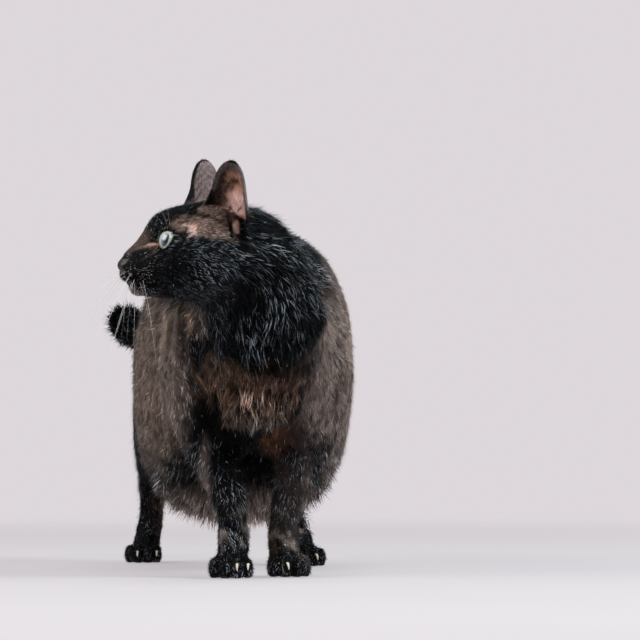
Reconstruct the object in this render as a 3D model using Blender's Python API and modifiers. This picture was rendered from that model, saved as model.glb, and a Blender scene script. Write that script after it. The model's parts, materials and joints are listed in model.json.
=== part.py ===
"""A stout black short-haired cat, standing, its head turned to its right: the solids of a life-size model.

Metres, +Z up. The cat faces -Y, its left side is +X, and its feet stand on z = 0.
The flesh is one mass of lofts, limbs and ellipsoids that is fused, smoothed and then parted by thin cuts.
"""

import math

import bmesh
import bpy
from mathutils import Euler, Matrix, Vector

# Driving dimensions of the whole animal.
GAP = 0.0003                # width of the cuts that part the body, and gap at eyes, ears and claws
VOXEL = 0.0024              # grid on which the flesh is fused
FLESH_TRIANGLES = 5000      # budget of the fused flesh before it is parted
DETAIL_SMOOTHING = 5        # passes that soften the head and paws
BODY_SMOOTHING = 55         # passes that soften the body, where the coat hides every step
DETAIL_SOFTENED = 0.40      # share of those passes that still reaches the head and paws
DETAIL_THINNED = 0.75       # share of the thinning that reaches them
TRIMMING = 1e-9             # pieces with less volume than this are trimmings of the cuts, and are dropped
# Where the body's softening begins and is full: away from the head, above the feet, and along the tail.
SOFT_FROM_HEAD = (0.050, 0.085)
SOFT_FROM_FLOOR = (0.030, 0.110)
SOFT_TO_TAIL = (0.310, 0.345)
TAIL_SOFTENED = 0.3

# Trunk: sections across the body, from the breast to the rump:
# (x, y, top z, z of the widest place, bottom z, half width, roundness above, roundness below).
TRUNK_SECTIONS = (
    (0.000, -0.042, 0.190, 0.160, 0.132, 0.0220, 2.0, 2.0),
    (0.000, -0.032, 0.212, 0.160, 0.118, 0.0380, 2.0, 2.0),
    (0.000, -0.010, 0.244, 0.160, 0.104, 0.0550, 2.1, 2.2),
    (0.001, 0.020, 0.266, 0.160, 0.092, 0.0690, 2.3, 2.4),
    (0.002, 0.065, 0.278, 0.162, 0.073, 0.0820, 2.5, 2.7),
    (0.003, 0.115, 0.281, 0.163, 0.050, 0.0910, 2.5, 2.75),
    (0.004, 0.160, 0.281, 0.162, 0.038, 0.0930, 2.3, 2.75),
    (0.003, 0.200, 0.277, 0.148, 0.039, 0.0890, 2.1, 2.2),
    (0.001, 0.240, 0.269, 0.140, 0.055, 0.0810, 2.0, 2.0),
    (0.000, 0.275, 0.256, 0.142, 0.080, 0.0680, 2.0, 2.0),
    (0.000, 0.305, 0.238, 0.155, 0.108, 0.0520, 2.0, 2.0),
    (0.000, 0.324, 0.216, 0.170, 0.136, 0.0280, 2.0, 2.0),
)
TRUNK_SIDES = 40

# Neck, from between the shoulders to the back of the head: (x, y, z, radius).
NECK_PATH = (
    (0.000, 0.065, 0.214, 0.0590),
    (-0.004, 0.025, 0.224, 0.0530),
    (-0.014, -0.008, 0.2325, 0.0490),
    (-0.019, -0.028, 0.2405, 0.0465),
    (-0.025, -0.042, 0.244, 0.0410),
)
# Throat and breast, from between the forelegs up to the jaw.
BREAST_PATH = (
    (0.000, 0.030, 0.130, 0.0420),
    (0.001, 0.000, 0.160, 0.0480),
    (0.002, -0.018, 0.193, 0.0500),
    (-0.006, -0.030, 0.222, 0.0460),
)

# Tail, from the rump backwards, round to the cat's right and forwards again: (x, y, z, radius).
TAIL_PATH = (
    (0.000, 0.285, 0.222, 0.0240),
    (0.003, 0.335, 0.214, 0.0180),
    (0.002, 0.385, 0.206, 0.0165),
    (-0.014, 0.425, 0.201, 0.0160),
    (-0.042, 0.440, 0.201, 0.0160),
    (-0.062, 0.425, 0.206, 0.0165),
    (-0.073, 0.395, 0.210, 0.0165),
    (-0.078, 0.368, 0.213, 0.0140),
)

# Legs, as (x, y, z, radius) from the body down to the foot, for each foot where it stands.
LEGS = {
    "foreleg_right": (
        (-0.044, 0.034, 0.195, 0.0320),
        (-0.048, 0.020, 0.155, 0.0310),
        (-0.041, 0.022, 0.114, 0.0260),
        (-0.0285, 0.011, 0.078, 0.0185),
        (-0.0205, 0.002, 0.046, 0.0136),
        (-0.0205, -0.004, 0.024, 0.0140),
    ),
    "foreleg_left": (
        (0.046, 0.042, 0.195, 0.0320),
        (0.050, 0.028, 0.155, 0.0310),
        (0.045, 0.034, 0.114, 0.0265),
        (0.0315, 0.025, 0.078, 0.0185),
        (0.0210, 0.017, 0.046, 0.0134),
        (0.0200, 0.012, 0.024, 0.0138),
    ),
    "hindleg_right": (
        (-0.034, 0.262, 0.185, 0.0420),
        (-0.043, 0.245, 0.145, 0.0400),
        (-0.0510, 0.258, 0.113, 0.0320),
        (-0.0550, 0.288, 0.090, 0.0215),
        (-0.0565, 0.318, 0.070, 0.0150),
        (-0.0575, 0.314, 0.044, 0.0124),
        (-0.0625, 0.302, 0.018, 0.0130),
    ),
    "hindleg_left": (
        (0.036, 0.247, 0.185, 0.0420),
        (0.044, 0.212, 0.145, 0.0400),
        (0.0525, 0.198, 0.110, 0.0320),
        (0.0565, 0.222, 0.087, 0.0210),
        (0.0565, 0.246, 0.066, 0.0148),
        (0.0560, 0.235, 0.042, 0.0124),
        (0.0600, 0.214, 0.018, 0.0130),
    ),
}
# Thighs, as flattened masses at the flanks: (centre, radii, pitch in degrees).
THIGHS = {
    "thigh_right": ((-0.047, 0.242, 0.155), (0.0330, 0.0540, 0.0660), 16),
    "thigh_left": ((0.047, 0.215, 0.155), (0.0350, 0.0540, 0.0660), 16),
}

# Paws: where each stands, how wide and long it is, and how far its toes turn out, in degrees.
PAWS = {
    "forepaw_right": {"at": (-0.0235, -0.012), "width": 0.0360, "length": 0.046, "height": 0.025, "turn": -6},
    "forepaw_left": {"at": (0.0215, 0.004), "width": 0.0360, "length": 0.046, "height": 0.025, "turn": 6},
    "hindpaw_right": {"at": (-0.0660, 0.291), "width": 0.0330, "length": 0.046, "height": 0.023, "turn": -7},
    "hindpaw_left": {"at": (0.0620, 0.201), "width": 0.0330, "length": 0.046, "height": 0.023, "turn": 7},
}
# The masses of every paw, as shares of its width, length and height: name, centre, radii.
PAW_MASSES = (
    ("back", (0.0, 0.10, 0.36), (0.42, 0.36, 0.52)),
    ("top", (0.0, -0.06, 0.48), (0.40, 0.30, 0.44)),
)
# Its toes in the same shares: across and ahead of its middle, and their height and radii.
TOES = ((-0.36, 0.16), (-0.13, 0.30), (0.13, 0.30), (0.36, 0.16))
TOE_HEIGHT = 0.30
TOE_RADII = (0.165, 0.235, 0.44)

# The head is built facing -Y about the middle of the skull, and then turned and placed.
HEAD_AT = (-0.0535, -0.0480, 0.2478)
HEAD_YAW = -83.0            # turned to its right
HEAD_PITCH = -0.5           # nose up
HEAD_ROLL = 6.0             # left side down
# Sections across the head in the head's frame, from the nose to the back of the skull, as for the trunk.
HEAD_SECTIONS = (
    (0, -0.0600, -0.0060, -0.0105, -0.0150, 0.0045, 2.0, 2.0),
    (0, -0.0575, -0.0020, -0.0125, -0.0210, 0.0095, 1.8, 2.0),
    (0, -0.0530, 0.0015, -0.0150, -0.0270, 0.0150, 1.7, 2.0),
    (0, -0.0480, 0.0060, -0.0160, -0.0315, 0.0185, 1.6, 2.0),
    (0, -0.0430, 0.0130, -0.0155, -0.0345, 0.0205, 1.35, 2.1),
    (0, -0.0385, 0.0245, -0.0140, -0.0360, 0.0228, 1.25, 2.1),
    (0, -0.0330, 0.0296, -0.0125, -0.0370, 0.0262, 1.35, 2.1),
    (0, -0.0270, 0.0315, -0.0105, -0.0375, 0.0295, 1.55, 2.1),
    (0, -0.0200, 0.0332, -0.0090, -0.0385, 0.0345, 1.8, 2.2),
    (0, -0.0120, 0.0350, -0.0080, -0.0395, 0.0380, 2.0, 2.2),
    (0, 0.0000, 0.0370, -0.0070, -0.0400, 0.0410, 2.0, 2.2),
    (0, 0.0120, 0.0380, -0.0060, -0.0400, 0.0405, 2.0, 2.1),
    (0, 0.0240, 0.0378, -0.0030, -0.0380, 0.0380, 2.0, 2.0),
    (0, 0.0350, 0.0345, 0.0000, -0.0340, 0.0335, 2.0, 2.0),
    (0, 0.0430, 0.0250, 0.0020, -0.0240, 0.0240, 2.0, 2.0),
)
HEAD_SIDES = 36
# Softer forms laid over them: name, centre, radii, pitch in degrees, and whether mirrored.
HEAD_MASSES = (
    ("brow", (0.0125, -0.0215, 0.0155), (0.0135, 0.0105, 0.0100), 0, True),
    ("cheekbone", (0.0215, -0.0220, -0.0060), (0.0105, 0.0120, 0.0090), 0, True),
    ("jowl", (0.0230, 0.0040, -0.0150), (0.0205, 0.0250, 0.0200), 0, True),
    ("whisker_pad", (0.0100, -0.0480, -0.0185), (0.0112, 0.0112, 0.0092), 0, True),
    ("nose", (0, -0.0555, -0.0085), (0.0066, 0.0052, 0.0056), 20, False),
    ("chin", (0, -0.0435, -0.0300), (0.0100, 0.0095, 0.0072), 0, False),
)

# Eyes.
EYE_RADIUS = 0.0112
EYE_SIDES = 16
EYE_AT = (0.0172, -0.0235, 0.0062)

# Ears: the middle of the base, where the tip stands, and how far the opening is turned from
# straight ahead towards the side, in degrees. The right ear is laid out as a left one and mirrored.
EARS = {
    "ear_left": {"base": (0.0245, 0.0175, 0.024), "tip": (0.0375, 0.0170, 0.067), "opening": 42, "side": 1},
    "ear_right": {"base": (0.0245, 0.0125, 0.024), "tip": (0.0375, 0.0130, 0.067), "opening": 58, "side": -1},
}
EAR_HALF_WIDTH = 0.0175
EAR_DEPTH = 0.0105          # how deep the cup of the pinna is
EAR_THICKNESS = 0.0022
EAR_ROOT = 0.35             # share of its height that reaches down into the head
EAR_WRAP = 82.0             # degrees of the cup on either side of its back
EAR_OUTLINE = (3.0, 0.52)   # exponents of its outline: how late it narrows, and how round its tip is
EAR_FLARE = 0.0085          # how far the front edge runs forward at its foot
EAR_FLARE_TOP = 0.50        # share of its height where the flare ends
EAR_FLARE_WAY = (-0.15, -1.0, 0.0)
EAR_TOP = 0.985             # share of its height where the outline ends in a short blunt edge
EAR_ROWS = 10
EAR_COLUMNS = 10

# Claws, in each toe's own frame: (share of the toe's length ahead, share of its height up, radius).
CLAW_PATH = ((0.35, 0.45, 0.0012), (0.85, 0.42, 0.0011), (1.12, 0.18, 0.0008), (1.22, -0.16, 0.0004))
CLAW_SIDES = 8
CLAW_STEPS = 1

# Whiskers of the left side, in the head's frame: the points along each, which is mirrored for the right.
WHISKERS = (
    ((0.0120, -0.0520, -0.0160), (0.0290, -0.0640, -0.0215), (0.0385, -0.0690, -0.0290)),
    ((0.0100, -0.0535, -0.0195), (0.0210, -0.0665, -0.0330), (0.0270, -0.0715, -0.0430)),
    ((0.0135, -0.0490, -0.0192), (0.0330, -0.0560, -0.0360), (0.0420, -0.0570, -0.0500)),
    ((0.0120, -0.0500, -0.0225), (0.0225, -0.0570, -0.0430), (0.0265, -0.0575, -0.0600)),
)
WHISKER_RADII = (0.00042, 0.00032, 0.00018)
WHISKER_SIDES = 4
WHISKER_STEPS = 2

# Cuts that part the flesh: name of the cut, its middle, the way its axis points, its radius.
CUTS = (
    ("neck_cut", (0.0, -0.004, 0.214), (0.0, -0.80, 0.60), 0.105),
    ("tail_cut_1", (0.0030, 0.337, 0.2135), (0.0, 0.98, -0.18), 0.030),
    ("tail_cut_2", (-0.0260, 0.4345, 0.1975), (-0.85, 0.52, 0.0), 0.030),
    ("foreleg_right_cut", (-0.0265, 0.009, 0.072), (0.22, 0.25, 1.0), 0.0250),
    ("foreleg_left_cut", (0.0290, 0.023, 0.071), (-0.22, 0.22, 1.0), 0.0250),
    ("hindleg_right_cut", (-0.0558, 0.302, 0.0800), (0.0, -0.80, 0.60), 0.0235),
    ("hindleg_left_cut", (0.0565, 0.2410, 0.0520), (0.0, -0.40, 1.0), 0.0235),
    ("forepaw_right_cut", (-0.0220, -0.004, 0.0285), (0, 0, 1.0), 0.0240),
    ("forepaw_left_cut", (0.0200, 0.012, 0.0285), (0, 0, 1.0), 0.0240),
    ("hindpaw_right_cut", (-0.0620, 0.304, 0.0265), (0, -0.20, 1.0), 0.0220),
    ("hindpaw_left_cut", (0.0580, 0.2235, 0.0285), (0, -0.20, 1.0), 0.0240),
)
# The cut between head and neck, in the head's frame.
HEAD_CUT = ((0.0, 0.0250, -0.0060), (0.35, -0.90, 0.25), 0.066)
CUT_SIDES = 48

# A place inside each piece of flesh, by which it gets its name.
FLESH_PLACES = {
    "neck": (0.0, -0.045, 0.205),
    "trunk": (0.0, 0.140, 0.160),
    "tail_base": (0.0, 0.390, 0.203),
    "tail_tip": (-0.066, 0.405, 0.206),
    "foreleg_right": (-0.0240, 0.006, 0.052),
    "foreleg_left": (0.0230, 0.022, 0.052),
    "hindleg_right": (-0.0580, 0.316, 0.058),
    "hindleg_left": (0.0575, 0.231, 0.038),
    "forepaw_right": (-0.0235, -0.012, 0.010),
    "forepaw_left": (0.0215, 0.004, 0.010),
    "hindpaw_right": (-0.0660, 0.291, 0.010),
    "hindpaw_left": (0.0620, 0.201, 0.010),
}


def clear_scene():
    for obj in list(bpy.data.objects):
        bpy.data.objects.remove(obj, do_unlink=True)


def new_collection(name, helpers=False):
    collection = bpy.data.collections.new(name)
    bpy.context.scene.collection.children.link(collection)
    collection.hide_render = helpers
    return collection


def new_material(name, colour, roughness):
    material = bpy.data.materials.new(name)
    material.use_nodes = True
    shader = material.node_tree.nodes["Principled BSDF"]
    shader.inputs["Base Color"].default_value = (*colour, 1.0)
    shader.inputs["Roughness"].default_value = roughness
    shader.inputs["Metallic"].default_value = 0.0
    material.diffuse_color = (*colour, 1.0)
    return material


def coat_material(name):
    return new_material(name + "_coat", (0.022, 0.019, 0.018), 0.45)


def ear_material(name):
    return new_material(name + "_skin", (0.190, 0.120, 0.100), 0.55)


def eye_material(name):
    return new_material(name + "_cornea", (0.520, 0.620, 0.500), 0.05)


def claw_material(name):
    return new_material(name + "_horn", (0.720, 0.640, 0.520), 0.30)


def whisker_material(name):
    return new_material(name + "_hair", (0.800, 0.780, 0.770), 0.35)


def object_from(bm, name, collection, matrix=None):
    mesh = bpy.data.meshes.new(name)
    bm.to_mesh(mesh)
    bm.free()
    obj = bpy.data.objects.new(name, mesh)
    collection.objects.link(obj)
    if matrix is not None:
        obj.matrix_world = matrix
    return obj


def bake(obj):
    """Applies the modifiers and the place of obj to its own mesh."""
    bpy.context.view_layer.update()
    graph = bpy.context.evaluated_depsgraph_get()
    mesh = bpy.data.meshes.new_from_object(obj.evaluated_get(graph))
    mesh.transform(obj.matrix_world)
    obj.modifiers.clear()
    obj.data = mesh
    obj.matrix_world = Matrix.Identity(4)


def ellipsoid(name, centre, radii, collection, frame=None, pitch=0.0, segments=28):
    bm = bmesh.new()
    bmesh.ops.create_uvsphere(bm, u_segments=segments, v_segments=segments // 2, radius=1.0)
    shape = (
        Matrix.Translation(centre)
        @ Matrix.Rotation(math.radians(pitch), 4, "X")
        @ Matrix.Diagonal((*radii, 1.0))
    )
    bmesh.ops.transform(bm, matrix=shape, verts=bm.verts)
    return object_from(bm, name, collection, frame)


def tube(name, path, collection, sides=28, resolution=6):
    """A round tube through the points of path, each with its own radius."""
    curve = bpy.data.curves.new(name, "CURVE")
    curve.dimensions = "3D"
    curve.bevel_depth = 1.0
    curve.bevel_resolution = sides // 4 - 1
    curve.use_fill_caps = True
    curve.resolution_u = resolution
    spline = curve.splines.new("BEZIER")
    spline.bezier_points.add(len(path) - 1)
    for point, (x, y, z, radius) in zip(spline.bezier_points, path):
        point.co = (x, y, z)
        point.radius = radius
        point.handle_left_type = point.handle_right_type = "AUTO"
    obj = bpy.data.objects.new(name, curve)
    collection.objects.link(obj)
    bpy.context.view_layer.update()
    mesh = bpy.data.meshes.new_from_object(obj.evaluated_get(bpy.context.evaluated_depsgraph_get()))
    bpy.data.objects.remove(obj)
    bm = bmesh.new()
    bm.from_mesh(mesh)
    bmesh.ops.remove_doubles(bm, verts=bm.verts, dist=1e-5)
    return bm


def limb(name, path, collection):
    """A tube with a round cap at both ends."""
    bm = tube(name, path, collection)
    for x, y, z, radius in (path[0], path[-1]):
        cap = Matrix.Translation((x, y, z)) @ Matrix.Scale(radius * 0.99, 4)
        bmesh.ops.create_uvsphere(bm, u_segments=20, v_segments=12, radius=1.0, matrix=cap)
    return object_from(bm, name, collection)


def section_ring(sides, x, y, top, middle, bottom, half_width, above, below):
    """A superellipse across the body, with one roundness above its widest place and another below."""
    ring = []
    for i in range(sides):
        angle = 2 * math.pi * i / sides
        side, up = math.sin(angle), math.cos(angle)
        power, height = (above, top - middle) if up >= 0 else (below, middle - bottom)
        across = math.copysign(abs(side) ** (2 / power), side)
        along = math.copysign(abs(up) ** (2 / power), up)
        ring.append((x + half_width * across, y, middle + height * along))
    return ring


def loft(name, sections, sides, collection, frame=None):
    """A closed skin through sections that are unlike each other, rounded by one subdivision."""
    bm = bmesh.new()
    rings = [[bm.verts.new(p) for p in section_ring(sides, *s)] for s in sections]
    for ahead, behind in zip(rings, rings[1:]):
        for i in range(sides):
            j = (i + 1) % sides
            bm.faces.new((ahead[i], ahead[j], behind[j], behind[i]))
    bm.faces.new(rings[0])
    bm.faces.new(rings[-1])
    bmesh.ops.recalc_face_normals(bm, faces=bm.faces)
    obj = object_from(bm, name, collection, frame)
    subdivision = obj.modifiers.new("round", "SUBSURF")
    subdivision.levels = subdivision.render_levels = 1
    return obj


def head_frame():
    turn = Euler((0, 0, math.radians(HEAD_YAW))).to_matrix().to_4x4()
    pitch = Matrix.Rotation(math.radians(-HEAD_PITCH), 4, "X")
    roll = Matrix.Rotation(math.radians(HEAD_ROLL), 4, "Y")
    return Matrix.Translation(HEAD_AT) @ turn @ pitch @ roll


def mirrored(point):
    return (-point[0], point[1], point[2])


def head_masses(collection, frame):
    loft("head_mass", HEAD_SECTIONS, HEAD_SIDES, collection, frame)
    for name, centre, radii, pitch, both in HEAD_MASSES:
        ellipsoid(name, centre, radii, collection, frame, pitch)
        if both:
            ellipsoid(name + "_right", mirrored(centre), radii, collection, frame, pitch)


def paw_frame(paw):
    x, y = paw["at"]
    return Matrix.Translation((x, y, 0)) @ Matrix.Rotation(math.radians(paw["turn"]), 4, "Z")


def paw_scale(paw):
    return Matrix.Diagonal((paw["width"], paw["length"], paw["height"]))


def toe(paw, across, ahead):
    """Centre and radii of a toe in its paw's frame."""
    scale = paw_scale(paw)
    return scale @ Vector((across, -ahead, TOE_HEIGHT)), scale @ Vector(TOE_RADII)


def paw_masses(name, paw, collection):
    frame = paw_frame(paw)
    scale = paw_scale(paw)
    for part, centre, radii in PAW_MASSES:
        ellipsoid(f"{name}_{part}", scale @ Vector(centre), scale @ Vector(radii), collection, frame)
    for i, place in enumerate(TOES):
        centre, radii = toe(paw, *place)
        ellipsoid(f"{name}_toe{i}", centre, radii, collection, frame)


def body_masses(collection):
    loft("trunk_mass", TRUNK_SECTIONS, TRUNK_SIDES, collection)
    limb("breast_mass", BREAST_PATH, collection)
    limb("neck_mass", NECK_PATH, collection)
    limb("tail_mass", TAIL_PATH, collection)
    for name, path in LEGS.items():
        limb(name + "_mass", path, collection)
    for name, (centre, radii, pitch) in THIGHS.items():
        ellipsoid(name, centre, radii, collection, pitch=pitch)
    for name, paw in PAWS.items():
        paw_masses(name, paw, collection)


def ramp(value, low, high):
    share = min(max((value - low) / (high - low), 0.0), 1.0)
    return share * share * (3 - 2 * share)


def softness(place):
    """How far a place of the flesh is from the head and the paws, from 0 to 1."""
    from_head = ramp((place - Vector(HEAD_AT)).length, *SOFT_FROM_HEAD)
    from_tail = 1.0 - (1.0 - TAIL_SOFTENED) * ramp(place.y, *SOFT_TO_TAIL)
    return from_head * from_tail * ramp(place.z, *SOFT_FROM_FLOOR)


def fused(masses, collection):
    """All the masses as one closed skin."""
    bpy.context.view_layer.update()
    graph = bpy.context.evaluated_depsgraph_get()
    bm = bmesh.new()
    for obj in masses:
        mesh = bpy.data.meshes.new_from_object(obj.evaluated_get(graph))
        mesh.transform(obj.matrix_world)
        bm.from_mesh(mesh)
    flesh = object_from(bm, "flesh", collection)
    remesh = flesh.modifiers.new("fuse", "REMESH")
    remesh.mode = "VOXEL"
    remesh.voxel_size = VOXEL
    bake(flesh)
    return flesh


def smoothed(flesh):
    """Softens the fused flesh, the body more than the head and paws, and thins it to its budget."""
    body = flesh.vertex_groups.new(name="body")
    plain = flesh.vertex_groups.new(name="plain")
    for vertex in flesh.data.vertices:
        soft = softness(vertex.co)
        body.add([vertex.index], DETAIL_SOFTENED + (1 - DETAIL_SOFTENED) * soft, "REPLACE")
        plain.add([vertex.index], DETAIL_THINNED + (1 - DETAIL_THINNED) * soft, "REPLACE")
    detail = flesh.modifiers.new("soften", "SMOOTH")
    detail.factor = 0.5
    detail.iterations = DETAIL_SMOOTHING
    wide = flesh.modifiers.new("soften_body", "SMOOTH")
    wide.factor = 0.5
    wide.iterations = BODY_SMOOTHING
    wide.vertex_group = body.name
    triangulate = flesh.modifiers.new("triangles", "TRIANGULATE")
    triangulate.quad_method = "BEAUTY"
    thin = flesh.modifiers.new("thin", "DECIMATE")
    thin.ratio = FLESH_TRIANGLES / (2.0 * len(flesh.data.polygons))
    thin.vertex_group = plain.name
    thin.vertex_group_factor = 1.0
    bake(flesh)
    flesh.vertex_groups.clear()


def cut_flat(flesh):
    """Cuts the paws flat where they stand on the floor."""
    bm = bmesh.new()
    bm.from_mesh(flesh.data)
    everything = bm.verts[:] + bm.edges[:] + bm.faces[:]
    floor = bmesh.ops.bisect_plane(
        bm, geom=everything, plane_co=(0, 0, 0), plane_no=(0, 0, 1), clear_inner=True
    )
    rim = [e for e in floor["geom_cut"] if isinstance(e, bmesh.types.BMEdge)]
    bmesh.ops.holes_fill(bm, edges=rim)
    bmesh.ops.triangulate(bm, faces=bm.faces)
    bm.to_mesh(flesh.data)
    bm.free()


def disc(name, centre, axis, radius, collection, frame=None):
    """A thin cutter, square to its axis."""
    bm = bmesh.new()
    turn = Vector((0, 0, 1)).rotation_difference(Vector(axis)).to_matrix().to_4x4()
    bmesh.ops.create_cone(bm, cap_ends=True, segments=CUT_SIDES, radius1=radius, radius2=radius, depth=GAP,
                          matrix=Matrix.Translation(centre) @ turn)
    return object_from(bm, name, collection, frame)


def subtract(obj, cutters):
    """Takes the cutters away from obj."""
    for cutter in cutters:
        difference = obj.modifiers.new("cut_" + cutter.name, "BOOLEAN")
        difference.operation = "DIFFERENCE"
        difference.solver = "EXACT"
        difference.object = cutter
    bake(obj)


def inflated(obj, collection):
    """A copy of obj that is larger by the gap all over, for cutting what meets it."""
    copy = bpy.data.objects.new(obj.name + "_with_gap", obj.data.copy())
    collection.objects.link(copy)
    swell = copy.modifiers.new("swell", "DISPLACE")
    swell.strength = GAP
    swell.mid_level = 0.0
    bake(copy)
    return copy


def parts_of(obj):
    """The separate closed pieces of obj's mesh, largest first, each as a bmesh."""
    bm = bmesh.new()
    bm.from_mesh(obj.data)
    bm.verts.ensure_lookup_table()
    island = {}
    count = 0
    for start in bm.verts:
        if start in island:
            continue
        island[start] = count
        edge_of_search = [start]
        while edge_of_search:
            vertex = edge_of_search.pop()
            for edge in vertex.link_edges:
                other = edge.other_vert(vertex)
                if other not in island:
                    island[other] = count
                    edge_of_search.append(other)
        count += 1
    pieces = []
    for number in range(count):
        piece = bm.copy()
        piece.verts.ensure_lookup_table()
        others = [piece.verts[v.index] for v, i in island.items() if i != number]
        bmesh.ops.delete(piece, geom=others, context="VERTS")
        if piece.calc_volume() > TRIMMING:
            pieces.append(piece)
    bm.free()
    return sorted(pieces, key=lambda piece: -piece.calc_volume())


def part_flesh(flesh, collection, frame):
    """Parts the flesh at its cuts and names every piece after the place it holds."""
    places = {name: Vector(place) for name, place in FLESH_PLACES.items()}
    places["head"] = frame @ Vector((0, -0.010, 0))
    pieces = parts_of(flesh)
    bpy.data.objects.remove(flesh)
    print("pieces of flesh", len(pieces))
    for bm in pieces:
        middle = sum((v.co for v in bm.verts), Vector()) / len(bm.verts)
        name = min(places, key=lambda key: (places[key] - middle).length)
        places.pop(name)
        obj = object_from(bm, name, collection)
        obj.data.materials.append(coat_material(name))


def ear_surface(name, ear, collection, frame):
    """One pinna as a cupped shell."""
    base, tip = Vector(ear["base"]), Vector(ear["tip"])
    up = (tip - base).normalized()
    height = (tip - base).length
    angle = math.radians(ear["opening"])
    opening = Vector((math.sin(angle), -math.cos(angle), 0))
    opening = (opening - up * opening.dot(up)).normalized()
    across = up.cross(opening)
    wrap = math.radians(EAR_WRAP)
    bm = bmesh.new()
    rows = []
    for i in range(EAR_ROWS + 1):
        v = (1 + EAR_ROOT) * i / EAR_ROWS - EAR_ROOT
        width = (1 - min(max(v, 0.0), EAR_TOP) ** EAR_OUTLINE[0]) ** EAR_OUTLINE[1]
        row = []
        for j in range(EAR_COLUMNS + 1):
            turn = wrap * (2 * j / EAR_COLUMNS - 1)
            back = (math.cos(turn) - math.cos(wrap)) / (1 - math.cos(wrap))
            foot = min(max(1 - v / EAR_FLARE_TOP, 0.0), 1.0) * max(1 - 2 * j / EAR_COLUMNS, 0.0)
            point = base + up * height * v + Vector(EAR_FLARE_WAY) * EAR_FLARE * foot
            point += across * EAR_HALF_WIDTH * width * math.sin(turn) / math.sin(wrap)
            point -= opening * EAR_DEPTH * width * back
            row.append(bm.verts.new((ear["side"] * point.x, point.y, point.z)))
        rows.append(row)
    for lower, upper in zip(rows, rows[1:]):
        for j in range(EAR_COLUMNS):
            bm.faces.new((lower[j], lower[j + 1], upper[j + 1], upper[j]))
    obj = object_from(bm, name, collection, frame)
    shell = obj.modifiers.new("thickness", "SOLIDIFY")
    shell.thickness = EAR_THICKNESS
    shell.offset = 0.0
    bake(obj)
    bm = bmesh.new()
    bm.from_mesh(obj.data)
    bmesh.ops.recalc_face_normals(bm, faces=bm.faces)
    bm.to_mesh(obj.data)
    bm.free()
    return obj


def keep_outer(obj):
    """Keeps only the part of obj outside the flesh, which is the largest piece left of it."""
    pieces = parts_of(obj)
    pieces[0].to_mesh(obj.data)
    for bm in pieces:
        bm.free()


def ears(collection, flesh_with_gap, frame):
    for name, ear in EARS.items():
        obj = ear_surface(name, ear, collection, frame)
        subtract(obj, [flesh_with_gap])
        keep_outer(obj)
        obj.data.materials.append(ear_material(name))


def eyes(collection, frame):
    for name, place in (("eye_left", EYE_AT), ("eye_right", mirrored(EYE_AT))):
        eye = ellipsoid(name, place, (EYE_RADIUS,) * 3, collection, frame, segments=EYE_SIDES)
        bake(eye)
        eye.data.materials.append(eye_material(name))


def eye_sockets(collection, frame):
    radii = (EYE_RADIUS + GAP,) * 3
    return [ellipsoid("socket_left", EYE_AT, radii, collection, frame, segments=EYE_SIDES),
            ellipsoid("socket_right", mirrored(EYE_AT), radii, collection, frame, segments=EYE_SIDES)]


def claw(name, paw, place, collection):
    """A hooked claw that comes out of the front of its toe."""
    centre, radii = toe(paw, *place)
    frame = paw_frame(paw)
    path = []
    for ahead, height, radius in CLAW_PATH:
        point = frame @ (centre + Vector((0, -ahead * radii.y, height * radii.z)))
        path.append((*point, radius))
    return object_from(tube(name, path, collection, CLAW_SIDES, CLAW_STEPS), name, collection)


def claws(collection, flesh_with_gap):
    for foot, paw in PAWS.items():
        for i, place in enumerate(TOES):
            name = f"claw_{foot}_{i + 1}"
            obj = claw(name, paw, place, collection)
            subtract(obj, [flesh_with_gap])
            keep_outer(obj)
            obj.data.materials.append(claw_material(name))


def whiskers(collection, flesh_with_gap, frame):
    for side, sign in (("left", 1), ("right", -1)):
        for i, points in enumerate(WHISKERS):
            name = f"whisker_{side}_{i + 1}"
            places = [frame @ Vector((sign * x, y, z)) for x, y, z in points]
            path = [(*place, radius) for place, radius in zip(places, WHISKER_RADII)]
            obj = object_from(tube(name, path, collection, WHISKER_SIDES, WHISKER_STEPS), name, collection)
            subtract(obj, [flesh_with_gap])
            keep_outer(obj)
            obj.data.materials.append(whisker_material(name))


def centre_on_origin(collection):
    """Moves everything so that the middle of the bottom of its bounds is the origin."""
    points = [v.co for obj in collection.objects for v in obj.data.vertices]
    low = Vector(min(p[i] for p in points) for i in range(3))
    high = Vector(max(p[i] for p in points) for i in range(3))
    shift = Matrix.Translation((-(low.x + high.x) / 2, -(low.y + high.y) / 2, -low.z))
    for obj in collection.objects:
        obj.data.transform(shift)
    print("shift", [round(v, 5) for v in shift.to_translation()])


def hide(collection):
    for obj in collection.objects:
        obj.hide_render = True
        obj.display_type = "WIRE"


def main():
    clear_scene()
    cat = new_collection("cat")
    helpers = new_collection("masses_and_cutters", helpers=True)
    frame = head_frame()
    body_masses(helpers)
    head_masses(helpers, frame)
    flesh = fused(list(helpers.objects), cat)
    smoothed(flesh)
    cut_flat(flesh)
    print("flesh", len(flesh.data.polygons))
    flesh_with_gap = inflated(flesh, helpers)
    ears(cat, flesh_with_gap, frame)
    claws(cat, flesh_with_gap)
    whiskers(cat, flesh_with_gap, frame)
    eyes(cat, frame)
    cutters = [disc(name, centre, axis, radius, helpers) for name, centre, axis, radius in CUTS]
    cutters.append(disc("head_cut", *HEAD_CUT, helpers, frame))
    cutters += eye_sockets(helpers, frame)
    subtract(flesh, cutters)
    part_flesh(flesh, cat, frame)
    centre_on_origin(cat)
    hide(helpers)
    print("triangles", sum(len(p.vertices) - 2 for obj in cat.objects for p in obj.data.polygons))


main()
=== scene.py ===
import json
import math

import bmesh
import bpy
import numpy as np
from mathutils import Matrix, Vector
from mathutils.bvhtree import BVHTree
from mathutils.kdtree import KDTree

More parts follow.
